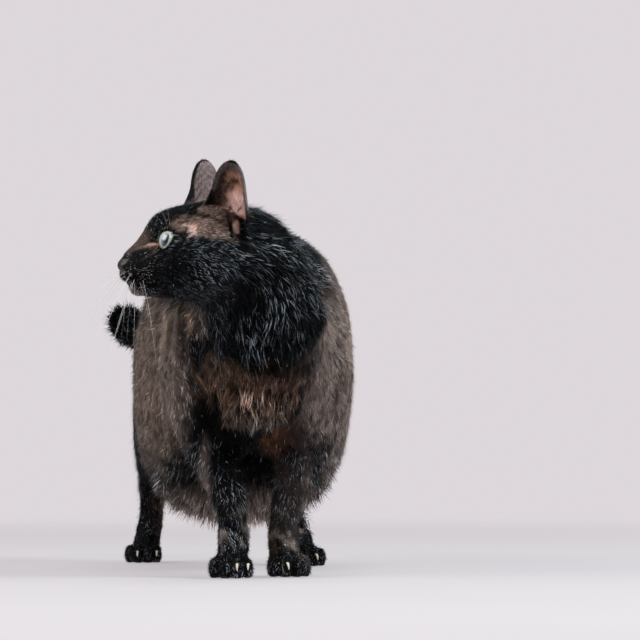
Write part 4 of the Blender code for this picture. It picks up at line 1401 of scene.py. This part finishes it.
def tuftMeshes(name, roots, outward, uvs, seed):
    # every tuft is a tapered three-sided lock, closed at its root; long ones have a bend in them
    source = np.random.default_rng(seed)
    count = len(roots)
    shares = regionShares(roots)
    owner, ownChance = lockLeaders(roots, source)
    stray = source.uniform(0, 1, count) < coatStray["share"]
    usual = coatValue(shares, "length")
    length = usual * source.uniform(*tuftPlan["length"], count) * np.where(stray, coatStray["longer"], 1)
    ridge = ridgeShare(roots)
    length *= 1 - tuftPlan["ridgeShorter"] * ridge
    width = coatValue(shares, "width") * source.uniform(*tuftPlan["width"], count)
    width = width * (1 - tuftPlan["ridgeThinner"] * ridge) * np.where(stray, coatStray["thinner"], 1)
    speckled = 1 - 0.85 * shares["muzzle"] * ramp(toHead(roots)[:, 2], -0.0150, -0.0100)
    white = source.uniform(0, 1, count) < coatValue(shares, "white") * speckled
    length = np.where(white, length * tuftPlan["whiteLength"], length)
    thicker = 0.70 + sum(more * shares[name] for name, more in tuftPlan["whiteWidth"].items())
    width = np.where(white, width * thicker, width)
    own = source.uniform(0, 1, count)
    # the tufts with a painted highlight stroke are a little wider and stand up more
    stroked = own > 1 - strokePlan["share"]
    width *= np.where(stroked, strokePlan["wider"], 1)
    lift = np.radians(coatValue(shares, "lift")) * source.uniform(*tuftPlan["lift"], count)
    lift = lift * np.where(stroked, 1.25, 0.95)
    lift *= np.where(stray, coatStray["lift"], source.uniform(*tuftPlan["lockLift"], count)[owner])
    way = lieAt(roots, outward)
    aside = np.cross(outward, way)
    ownTurn, lockTurn = tuftPlan["turn"]
    turn = ownTurn * source.normal(size=count) + lockTurn * source.normal(size=count)[owner]
    turn += 0.16 * waves(roots, 0.012, 11) + 0.08 * waves(roots, 0.003, 12)
    way = unit(way * np.cos(turn)[:, None] + aside * np.sin(turn)[:, None])
    aside = np.cross(outward, way)
    # shorter where the skin ahead is bare
    bareAhead = markingsAndPaintedLightAt(roots + way * (0.6 * length)[:, None], outward)[2]
    length *= 1 - 0.72 * bareAhead * (1 - shares["ear"])
    middle = roots + stepAlong(way, outward, lift, length)
    loose, close = source.uniform(*tuftPlan["strayBend"], count), source.uniform(*tuftPlan["bend"], count)
    tip = middle + stepAlong(way, outward, lift * np.where(stray, loose, close), length)
    pull = coatValue(shares, "lock") * source.uniform(*tuftPlan["pull"], count) * np.where(stray, 0, 1)
    tip = gathered(tip, roots, length, owner, pull)
    middle = gathered(middle, roots, length, owner, pull * 0.35, 0.5)
    foot = roots - outward * tuftPlan["rootDepth"]
    half, thick = (width / 2)[:, None], (width * tuftPlan["thickness"])[:, None]
    corners = np.stack((
        foot - aside * half, foot + aside * half, foot + outward * thick,
        middle - aside * half * 0.85, middle + aside * half * 0.85, middle + outward * thick * 0.85,
        tip,
    ), axis=1)
    corners[:, :, 2] = np.maximum(corners[:, :, 2], tuftPlan["lowest"])
    colour = strokedColour(roots, outward, shares, own, ownChance[owner])
    colour[white] = markingAndPaintedLightPlan["white"]
    chance = 0.55 * ownChance[owner] + 0.45 * source.uniform(0, 1, count)
    order = np.argsort(roots[:, 1] + 0.35 * roots[:, 2])
    short = usual < tuftKinds["short"]["upTo"]
    pieces = []
    for kind, wanted in (("short", short), ("long", ~short)):
        ordered = order[wanted[order]]
        step = tuftKinds[kind]["perPiece"]
        for start in range(0, len(ordered), step):
            chosen = ordered[start:start + step]
            kept = corners[chosen][:, tuftKinds[kind]["kept"]]
            title = f"{name}_{len(pieces) + 1}"
            pieces.append(tuftPiece(title, kind, kept, colour[chosen], chance[chosen], uvs[chosen]))
    return pieces


def strokedColour(roots, outward, shares, own, lock):
    # the markings, with a painted highlight, a light stroke of sheen, on some of the tufts
    colour, _, _, paintedSheen = markingsAndPaintedLightAt(roots, outward)
    for name, factor in strokePlan["region"].items():
        paintedSheen = paintedSheen * (1 + (factor - 1) * shares[name])
    colour = colour * (1 + 1.7 * (own - 0.5) * shares["ear"])[:, None]
    local = toHead(roots)
    temples = [headPatches[name][:2] for name in headPatches if "temple" in name]
    temple = np.max([patchShare(onLeft(local), *patch, 0) for patch in temples], axis=0)
    strands = 0.6 * lock + 0.4 * own
    breast = patchShare(toBody(roots), *bodyPatches["breast"][:2], 0)
    smooth = 1 - 0.8 * ridgeShare(roots)
    mottled = np.max([temple, 0.75 * breast, 0.55 * shares["body"] * smooth, 0.20 * shares["belly"]], axis=0)
    colour *= (1 + mottled * np.where(strands < strokePlan["dark"], -0.88, strands))[:, None]
    paintedSheen = paintedSheen * (1 - 0.75 * shares["face"] * ramp(local[:, 2], 0.012, 0.022))
    wander = 0.5 + strokePlan["wander"] * waves(roots, strokePlan["patch"], 31) + 0.3 * (lock - 0.5)
    # painted highlight: the stroke lightens the tuft and adds the painted sheen colour
    stroke = ramp(own, 1 - strokePlan["share"], 1 - 0.5 * strokePlan["share"]) * np.clip(wander, 0.06, 1.3)
    lighter = colour * (1 + strokePlan["own"] * stroke)[:, None]
    return lighter + np.array(strokePlan["paintedSheen"]) * (stroke * paintedSheen)[:, None]


def tintSkin(skin):
    points = pointsOf(skin.data)
    giveValues(skin.data, "tint", markingsAndPaintedLightAt(points, normalsOf(skin.data))[1])
    giveValues(skin.data, "leather", noseShare(toHead(points)))


unwrapped = unwrappedCopy(skin, skinPlan["unwrapFaces"])
print("skin unwrapped")
roots, outward = scatterRoots(skin, skinPlan["rootSeed"])
print("roots", len(roots))
rootUvs = unwrapPlaces(unwrapped, roots)
bpy.data.objects.remove(unwrapped)
coatPieces = tuftMeshes("coat", roots, outward, rootUvs, skinPlan["tuftSeed"])
tintSkin(skin)
print("coat laid", len(roots), "tufts in", len(coatPieces), "pieces")


def eyeBall(name, side, gaze):
    # a ball with its cornea; its own map runs across and up the iris from the middle of the gaze
    radius = eyePlan["radius"]
    bpy.ops.mesh.primitive_uv_sphere_add(segments=96, ring_count=64, radius=radius)
    ball = bpy.context.object
    ball.name = ball.data.name = name
    points = pointsOf(ball.data)
    fromPole = np.hypot(points[:, 0], points[:, 1])
    bulge = np.clip(1 - (fromPole / eyePlan["iris"]) ** 2, 0, 1) * (points[:, 2] > 0) * eyePlan["cornea"]
    points = unit(points) * (radius + bulge)[:, None]
    lean = math.radians(eyePlan["lean"])
    across = points[:, 0] * math.cos(lean) - points[:, 1] * math.sin(lean)
    upward = points[:, 0] * math.sin(lean) + points[:, 1] * math.cos(lean)
    uv = np.stack((across, upward), axis=1) / (2 * radius) + 0.5
    aside, up = math.radians(gaze[0]), math.radians(gaze[1])
    out = np.array([math.sin(aside) * math.cos(up), -math.cos(aside) * math.cos(up), math.sin(up)])
    right = np.array([math.cos(aside), math.sin(aside), 0.0])
    rise = np.cross(out, right)
    rise = rise if rise[2] > 0 else -rise
    right = np.cross(rise, out)
    local = points @ np.stack((right, rise, out)) + np.array(eyePlan["middle"])
    setPoints(ball.data, fromHead(local * np.array([side, 1, 1])))
    corners = valuesOf(ball.data.loops, "vertex_index", 1, np.int32)[:, 0]
    ball.data.uv_layers.active.data.foreach_set("uv", uv[corners].astype(np.float32).ravel())
    normalsOutward(ball)
    bpy.ops.object.shade_smooth()
    return ball


eyeLeft = eyeBall("eyeLeft", 1, eyePlan["gaze"]["left"])
eyeRight = eyeBall("eyeRight", -1, eyePlan["gaze"]["right"])
print("eyes set")


# Whiskers: root in the head's frame, the way each sets out, length and thickness at the root.
whiskerPlan = {
    "rows": (
        ((0.0085, -0.0560, -0.0165), (0.35, -0.92, -0.12), 0.022, 0.00013),
        ((0.0110, -0.0540, -0.0160), (0.50, -0.80, -0.25), 0.030, 0.00015),
        ((0.0135, -0.0505, -0.0155), (0.62, -0.55, -0.45), 0.046, 0.00016),
        ((0.0090, -0.0555, -0.0195), (0.30, -0.75, -0.60), 0.040, 0.00016),
        ((0.0118, -0.0530, -0.0195), (0.40, -0.62, -0.72), 0.054, 0.00018),
        ((0.0145, -0.0490, -0.0192), (0.48, -0.42, -0.80), 0.062, 0.00018),
        ((0.0165, -0.0450, -0.0185), (0.55, 0.12, -0.90), 0.060, 0.00013),
        ((0.0098, -0.0540, -0.0225), (0.20, -0.58, -0.85), 0.046, 0.00015),
        ((0.0125, -0.0510, -0.0228), (0.25, -0.40, -0.92), 0.058, 0.00017),
        ((0.0150, -0.0465, -0.0225), (0.40, 0.30, -0.90), 0.034, 0.00012),
        ((0.0130, -0.0495, -0.0250), (0.20, -0.05, -0.98), 0.044, 0.00014),
    ),
    "brows": (
        ((0.0150, -0.0300, 0.0200), (0.20, -0.55, 0.80), 0.022, 0.00006),
        ((0.0180, -0.0275, 0.0205), (0.35, -0.35, 0.90), 0.036, 0.00007),
        ((0.0200, -0.0255, 0.0200), (0.30, -0.15, 0.95), 0.030, 0.00006),
    ),
    "droop": 0.34,
    "droopWay": (0, -0.12, -1),
    "rootDepth": 0.0012,
    "slimmer": 0.80,
    "taper": 0.85,
    "steps": 12,
    "stray": 0.06,
    "rightShorter": 0.72,      # those on the right side
    "seed": 21,
}


def whisker(root, way, length, thickness, side, source):
    way = unit(np.array(way) + source.normal(size=3) * whiskerPlan["stray"])
    droop = np.array(whiskerPlan["droopWay"]) * whiskerPlan["droop"] * source.uniform(0.5, 1.3)
    places, radii = [], []
    for i in range(whiskerPlan["steps"]):
        t = i / (whiskerPlan["steps"] - 1)
        place = np.array(root) + way * (length * t - whiskerPlan["rootDepth"]) + droop * length * t * t
        places.append(fromHead(place * np.array([side, 1, 1])))
        radii.append(whiskerPlan["slimmer"] * thickness * (1 - whiskerPlan["taper"] * t))
    return roundBar("whisker", places, radii, 1, False)


def makeWhiskers():
    source = np.random.default_rng(whiskerPlan["seed"])
    pieces = []
    for side in (1, -1):
        for root, way, length, thickness in whiskerPlan["rows"] + whiskerPlan["brows"]:
            length *= whiskerPlan["rightShorter"] if side < 0 else 1.0
            pieces.append(whisker(root, way, length, thickness, side, source))
    joined = joinAll(pieces)
    joined.name = joined.data.name = "whiskers"
    bpy.ops.object.shade_smooth()
    return joined


whiskers = makeWhiskers()
print("whiskers set")


# Claws: a cat that stands keeps most of them drawn in.
clawPlan = {
    "shown": ("claw_forepaw_right_3", "claw_forepaw_right_4", "claw_forepaw_left_2", "claw_hindpaw_right_2",
              "claw_hindpaw_right_4", "claw_hindpaw_left_3"),
    "slimmer": (1.10, 0.90, 0.72),
    "drawnIn": 0.45,            # size of the others
    "behind": 0.0042,           # how far back they lie
    "grid": 0.00028,
}


def smoothClaw(name):
    # a rounded copy of a claw
    claw = copyOfSolid(name)
    claw.name = claw.data.name = "horn_" + name
    rounded = claw.modifiers.new("rounded", "REMESH")
    rounded.mode = "VOXEL"
    rounded.voxel_size = clawPlan["grid"]
    smooth = claw.modifiers.new("even", "SMOOTH")
    smooth.iterations = 6
    applyModifiers(claw)
    middle = np.array(middleOf(name))
    shown = 1.0 if name in clawPlan["shown"] else clawPlan["drawnIn"]
    points = middle + (pointsOf(claw.data) - middle) * np.array(clawPlan["slimmer"]) * shown
    setPoints(claw.data, points + np.array([0, clawPlan["behind"] if shown < 1 else 0, 0]))
    bpy.ops.object.shade_smooth()
    return claw


claws = [(smoothClaw(name), name) for name in sorted(nodes) if name.startswith("claw_")]
print("claws rounded")


def newMaterial(name):
    material = bpy.data.materials.new(name)
    material.use_nodes = True
    return material, material.node_tree, material.node_tree.nodes["Principled BSDF"]


def link(tree, output, socket):
    tree.links.new(output, socket)


def makeMottle():
    # slow and fine variation over a surface, about 1
    tree = bpy.data.node_groups.new("mottle", "ShaderNodeTree")
    for name, value in (("Size", 60.0), ("Amount", 0.2), ("Detail", 3.0)):
        socket = tree.interface.new_socket(name, in_out="INPUT", socket_type="NodeSocketFloat")
        socket.default_value = value
    tree.interface.new_socket("Value", in_out="OUTPUT", socket_type="NodeSocketFloat")
    inputs, outputs = tree.nodes.new("NodeGroupInput"), tree.nodes.new("NodeGroupOutput")
    place = tree.nodes.new("ShaderNodeTexCoord")
    noise = tree.nodes.new("ShaderNodeTexNoise")
    spread = tree.nodes.new("ShaderNodeMath")
    spread.operation = "SUBTRACT"
    spread.inputs[1].default_value = 0.5
    scaled = tree.nodes.new("ShaderNodeMath")
    scaled.operation = "MULTIPLY_ADD"
    scaled.inputs[2].default_value = 1.0
    link(tree, place.outputs["Object"], noise.inputs["Vector"])
    link(tree, inputs.outputs["Size"], noise.inputs["Scale"])
    link(tree, inputs.outputs["Detail"], noise.inputs["Detail"])
    link(tree, noise.outputs["Fac"], spread.inputs[0])
    link(tree, spread.outputs[0], scaled.inputs[0])
    link(tree, inputs.outputs["Amount"], scaled.inputs[1])
    link(tree, scaled.outputs[0], outputs.inputs["Value"])
    return tree


mottle = makeMottle()


def addMottle(tree, size, amount, detail=3.0):
    node = tree.nodes.new("ShaderNodeGroup")
    node.node_tree = mottle
    node.inputs["Size"].default_value = size
    node.inputs["Amount"].default_value = amount
    node.inputs["Detail"].default_value = detail
    return node.outputs["Value"]


def addAttribute(tree, name):
    node = tree.nodes.new("ShaderNodeAttribute")
    node.attribute_name = name
    return node


def addMath(tree, operation, first, second=None, third=None):
    node = tree.nodes.new("ShaderNodeMath")
    node.operation = operation
    for socket, value in zip(node.inputs, (first, second, third)):
        if value is None:
            continue
        if isinstance(value, (int, float)):
            socket.default_value = value
        else:
            link(tree, value, socket)
    return node.outputs[0]


def addSquares(tree, first, second):
    squares = [addMath(tree, "MULTIPLY", value, value) for value in (first, second)]
    return addMath(tree, "ADD", *squares)


def addScale(tree, colour, factor):
    # a colour made lighter or darker
    node = tree.nodes.new("ShaderNodeVectorMath")
    node.operation = "SCALE"
    link(tree, colour, node.inputs[0])
    link(tree, factor, node.inputs["Scale"])
    return node.outputs[0]


def addMix(tree, factor, first, second):
    node = tree.nodes.new("ShaderNodeMix")
    node.data_type = "RGBA"
    link(tree, factor, node.inputs["Factor"])
    for socket, value in ((node.inputs[6], first), (node.inputs[7], second)):
        if isinstance(value, tuple):
            socket.default_value = (*value, 1.0)
        else:
            link(tree, value, socket)
    return node.outputs[2]


def addRamp(tree, value, low, high):
    node = tree.nodes.new("ShaderNodeMapRange")
    node.interpolation_type = "SMOOTHSTEP"
    node.inputs["From Min"].default_value = low
    node.inputs["From Max"].default_value = high
    link(tree, value, node.inputs["Value"])
    return node.outputs["Result"]


furPlan = {
    "roughness": 0.38,
    "specular": 0.05,
    "darkest": 0.40,         # of a tuft's own shade
    "spread": 1.2,
    "rootShade": 0.45,
    "tipShade": 1.55,
}
hidePlan = {
    "roughness": 0.60,
    "leatherSmoother": 0.22,
    "specular": 0.06,
    "leatherGloss": 0.5,
    "glossRoughness": 0.34,
    "pebbles": 1300.0,
    "pebbleDepth": 1.2,
    "relief": 0.0004,
    "reliefStrength": 0.35,
}


def makeFur():
    material, tree, shader = newMaterial("blackFur")
    tint = addAttribute(tree, "tint").outputs["Color"]
    chance = addAttribute(tree, "chance").outputs["Fac"]
    along = addAttribute(tree, "along").outputs["Fac"]
    level = addMath(tree, "MULTIPLY_ADD", chance, furPlan["spread"], furPlan["darkest"])
    level = addMath(tree, "MULTIPLY", level, addMottle(tree, 55.0, 0.8))
    towardsTip = furPlan["tipShade"] - furPlan["rootShade"]
    lighter = addMath(tree, "MULTIPLY_ADD", along, towardsTip, furPlan["rootShade"])
    link(tree, addScale(tree, tint, addMath(tree, "MULTIPLY", level, lighter)), shader.inputs["Base Color"])
    rough = addMath(tree, "MULTIPLY_ADD", chance, -0.10, furPlan["roughness"])
    link(tree, rough, shader.inputs["Roughness"])
    shader.inputs["Specular IOR Level"].default_value = furPlan["specular"]
    return material


def makeHide():
    material, tree, shader = newMaterial("hide")
    tint = addAttribute(tree, "tint").outputs["Color"]
    leather = addAttribute(tree, "leather").outputs["Fac"]
    level = addMath(tree, "MULTIPLY", addMottle(tree, 160.0, 0.5), addMottle(tree, 900.0, 0.6, 2.0))
    link(tree, addScale(tree, tint, level), shader.inputs["Base Color"])
    rough = addMath(tree, "MULTIPLY_ADD", leather, -hidePlan["leatherSmoother"], hidePlan["roughness"])
    link(tree, addMath(tree, "MULTIPLY", rough, addMottle(tree, 400.0, 0.3)), shader.inputs["Roughness"])
    place = tree.nodes.new("ShaderNodeTexCoord")
    pebbles = tree.nodes.new("ShaderNodeTexVoronoi")
    pebbles.inputs["Scale"].default_value = hidePlan["pebbles"]
    link(tree, place.outputs["Object"], pebbles.inputs["Vector"])
    pores = addMath(tree, "MULTIPLY", pebbles.outputs["Distance"], leather)
    height = addMath(tree, "MULTIPLY_ADD", pores, -hidePlan["pebbleDepth"], addMottle(tree, 2200.0, 0.5, 2.0))
    bump = tree.nodes.new("ShaderNodeBump")
    bump.inputs["Strength"].default_value = hidePlan["reliefStrength"]
    bump.inputs["Distance"].default_value = hidePlan["relief"]
    link(tree, height, bump.inputs["Height"])
    link(tree, bump.outputs["Normal"], shader.inputs["Normal"])
    shader.inputs["Specular IOR Level"].default_value = hidePlan["specular"]
    link(tree, addMath(tree, "MULTIPLY", leather, hidePlan["leatherGloss"]), shader.inputs["Coat Weight"])
    shader.inputs["Coat Roughness"].default_value = hidePlan["glossRoughness"]
    return material


irisPlan = {
    "outer": (0.34, 0.36, 0.31),
    "inner": (0.70, 0.72, 0.65),
    "edge": (0.010, 0.011, 0.010),
    "pupil": (0.003, 0.013, 0.020),
    "paintedReflection": (0.11, 0.20, 0.26),
    "white": (0.050, 0.036, 0.030),
    "pupilWidth": 0.0031,     # half of it
    "pupilHeight": 0.0049,
}


def makeEye():
    # a pale ring of fibres round an upright pupil with a painted reflection in it, under a clear cornea
    material, tree, shader = newMaterial("eye")
    place = tree.nodes.new("ShaderNodeUVMap")
    place.uv_map = "UVMap"
    split = tree.nodes.new("ShaderNodeSeparateXYZ")
    link(tree, place.outputs["UV"], split.inputs[0])
    size = 2 * eyePlan["radius"]
    x = addMath(tree, "MULTIPLY_ADD", split.outputs[0], size, -size / 2)
    y = addMath(tree, "MULTIPLY_ADD", split.outputs[1], size, -size / 2)
    fromMiddle = addMath(tree, "SQRT", addSquares(tree, x, y))
    px = addMath(tree, "DIVIDE", x, irisPlan["pupilWidth"])
    py = addMath(tree, "DIVIDE", y, irisPlan["pupilHeight"])
    pupil = addSquares(tree, px, py)
    around = addMath(tree, "ARCTAN2", y, x)
    rays = tree.nodes.new("ShaderNodeCombineXYZ")
    link(tree, addMath(tree, "MULTIPLY", around, 5.0), rays.inputs[0])
    link(tree, addMath(tree, "MULTIPLY", fromMiddle, 160.0), rays.inputs[1])
    fibres = tree.nodes.new("ShaderNodeTexNoise")
    fibres.inputs["Scale"].default_value = 3.2
    fibres.inputs["Detail"].default_value = 4.0
    link(tree, rays.outputs[0], fibres.inputs["Vector"])
    inward = addMath(tree, "MULTIPLY_ADD", fromMiddle, -110.0, 0.35)
    share = addMath(tree, "MULTIPLY_ADD", fibres.outputs["Fac"], 0.9, inward)
    colour = addMix(tree, addRamp(tree, share, 0.0, 0.8), irisPlan["outer"], irisPlan["inner"])
    iris = eyePlan["iris"]
    colour = addMix(tree, addRamp(tree, fromMiddle, iris * 0.72, iris * 1.02), colour, irisPlan["edge"])
    colour = addMix(tree, addRamp(tree, fromMiddle, iris * 1.03, iris * 1.10), colour, irisPlan["white"])
    # painted reflection: pale blue on one side of the pupil
    reflectionShare = addRamp(tree, addMath(tree, "MULTIPLY_ADD", y, -0.25, x), 0.0010, -0.0012)
    deep = addMix(tree, reflectionShare, irisPlan["pupil"], irisPlan["paintedReflection"])
    colour = addMix(tree, addRamp(tree, pupil, 1.16, 0.92), colour, deep)
    link(tree, colour, shader.inputs["Base Color"])
    shader.inputs["Roughness"].default_value = 0.30
    shader.inputs["Coat Weight"].default_value = 1.0
    shader.inputs["Coat Roughness"].default_value = 0.02
    return material


hornPlan = {"claw": (0.62, 0.54, 0.44, 1.0), "whisker": (0.80, 0.78, 0.77, 1.0)}


def makeHorn():
    material, tree, shader = newMaterial("horn")
    pale = tree.nodes.new("ShaderNodeRGB")
    pale.outputs[0].default_value = hornPlan["claw"]
    link(tree, addScale(tree, pale.outputs[0], addMottle(tree, 420.0, 0.7)), shader.inputs["Base Color"])
    link(tree, addMath(tree, "MULTIPLY", addMottle(tree, 900.0, 0.4), 0.36), shader.inputs["Roughness"])
    shader.inputs["Subsurface Weight"].default_value = 0.1
    shader.inputs["Subsurface Scale"].default_value = 0.002
    return material


def makeWhiskerMaterial():
    material, tree, shader = newMaterial("whisker")
    pale = tree.nodes.new("ShaderNodeRGB")
    pale.outputs[0].default_value = hornPlan["whisker"]
    link(tree, addScale(tree, pale.outputs[0], addMottle(tree, 300.0, 0.3)), shader.inputs["Base Color"])
    shader.inputs["Roughness"].default_value = 0.32
    return material


def dress(piece, material):
    piece.data.materials.clear()
    piece.data.materials.append(material)


fur, hide, eyeMaterial = makeFur(), makeHide(), makeEye()
horn, whiskerMaterial = makeHorn(), makeWhiskerMaterial()
dress(skin, hide)
for piece in coatPieces:
    dress(piece, fur)
for piece in (eyeLeft, eyeRight):
    dress(piece, eyeMaterial)
for claw, name in claws:
    dress(claw, horn)
dress(whiskers, whiskerMaterial)
print("materials given")


# Floor, light and surroundings.
studioPlan = {
    "surround": (0.726, 0.684, 0.712),
    "ambient": 0.10,              # how strongly the surroundings light the cat
    "floorRadius": 2.0,
    "fadeFrom": 0.60,
    "fadeTo": 1.80,
    # painted light: the floor glows, which lifts the shadows on it, and nearer paints its tint and glow lighter
    # towards the front
    "floorTint": (0.190, 0.182, 0.190),
    "floorGlow": (0.408, 0.389, 0.403),
    "nearer": (0.00, -0.95, 1.09),    # the floor lightens towards the front, from, to and by
    "aim": (0, -0.05, 0.15),
    # lights: place, size, energy and colour
    "right": ((1.9, -0.8, 1.5), 1.0, 76.0, (0.92, 0.97, 1.0)),
    "left": ((-2.0, -0.5, 1.3), 1.6, 52.0, (1.0, 0.98, 0.96)),
    "top": ((0.1, -0.2, 2.6), 1.4, 36.0, (0.97, 0.98, 1.0)),
    "front": ((-0.5, -2.4, 1.9), 0.6, 13.0, (0.94, 0.97, 1.0)),
}


def makeFloor():
    bpy.ops.mesh.primitive_circle_add(vertices=128, radius=studioPlan["floorRadius"], fill_type="NGON")
    floor = bpy.context.object
    floor.name = floor.data.name = "studioFloor"
    settle(floor)
    material, tree, shader = newMaterial("floor")
    place = tree.nodes.new("ShaderNodeTexCoord")
    length = tree.nodes.new("ShaderNodeVectorMath")
    length.operation = "LENGTH"
    link(tree, place.outputs["Object"], length.inputs[0])
    edge = addRamp(tree, length.outputs["Value"], studioPlan["fadeTo"], studioPlan["fadeFrom"])
    link(tree, edge, shader.inputs["Alpha"])
    split = tree.nodes.new("ShaderNodeSeparateXYZ")
    link(tree, place.outputs["Object"], split.inputs[0])
    start, end, most = studioPlan["nearer"]
    nearer = addMath(tree, "MULTIPLY_ADD", addRamp(tree, split.outputs[1], start, end), most - 1, 1.0)
    nearer = addMath(tree, "MULTIPLY", nearer, addMottle(tree, 6.0, 0.03))
    for name, socket in (("floorTint", "Base Color"), ("floorGlow", "Emission Color")):
        tone = tree.nodes.new("ShaderNodeRGB")
        tone.outputs[0].default_value = (*studioPlan[name], 1.0)
        link(tree, addScale(tree, tone.outputs[0], nearer), shader.inputs[socket])
    shader.inputs["Emission Strength"].default_value = 1.0
    link(tree, addMath(tree, "MULTIPLY", addMottle(tree, 30.0, 0.1), 0.75), shader.inputs["Roughness"])
    dress(floor, material)
    return floor


def addArea(name, place, size, energy, colour):
    bpy.ops.object.light_add(type="AREA", location=place)
    light = bpy.context.object
    light.name = name
    light.data.size = size
    light.data.energy = energy
    light.data.color = colour
    aim = Vector(studioPlan["aim"]) - Vector(place)
    light.rotation_mode = "QUATERNION"
    light.rotation_quaternion = aim.to_track_quat("-Z", "Y")
    return light


def makeStudio():
    world = bpy.data.worlds.new("studio")
    bpy.context.scene.world = world
    world.use_nodes = True
    tree = world.node_tree
    background = tree.nodes["Background"]
    background.inputs["Color"].default_value = (*studioPlan["surround"], 1.0)
    path = tree.nodes.new("ShaderNodeLightPath")
    ambient = studioPlan["ambient"]
    seen = addMath(tree, "MULTIPLY_ADD", path.outputs["Is Camera Ray"], 1 - ambient, ambient)
    link(tree, seen, background.inputs["Strength"])
    for name in ("right", "left", "top", "front"):
        addArea(name + "Light", *studioPlan[name])
    bpy.context.scene.view_settings.view_transform = "Standard"


floor = makeFloor()
makeStudio()
print("studio lit")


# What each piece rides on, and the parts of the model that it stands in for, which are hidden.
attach(skin, "root")
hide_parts(*fleshNames, *earNames)
for piece in coatPieces:
    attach(piece, "root")
for piece, name in ((eyeLeft, "eye_left"), (eyeRight, "eye_right")):
    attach(piece, "root")
    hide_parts(name)
for claw, name in claws:
    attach(claw, "root")
    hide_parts(name)
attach(whiskers, "root")
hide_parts(*(name for name in nodes if name.startswith("whisker_")))

print("all set")
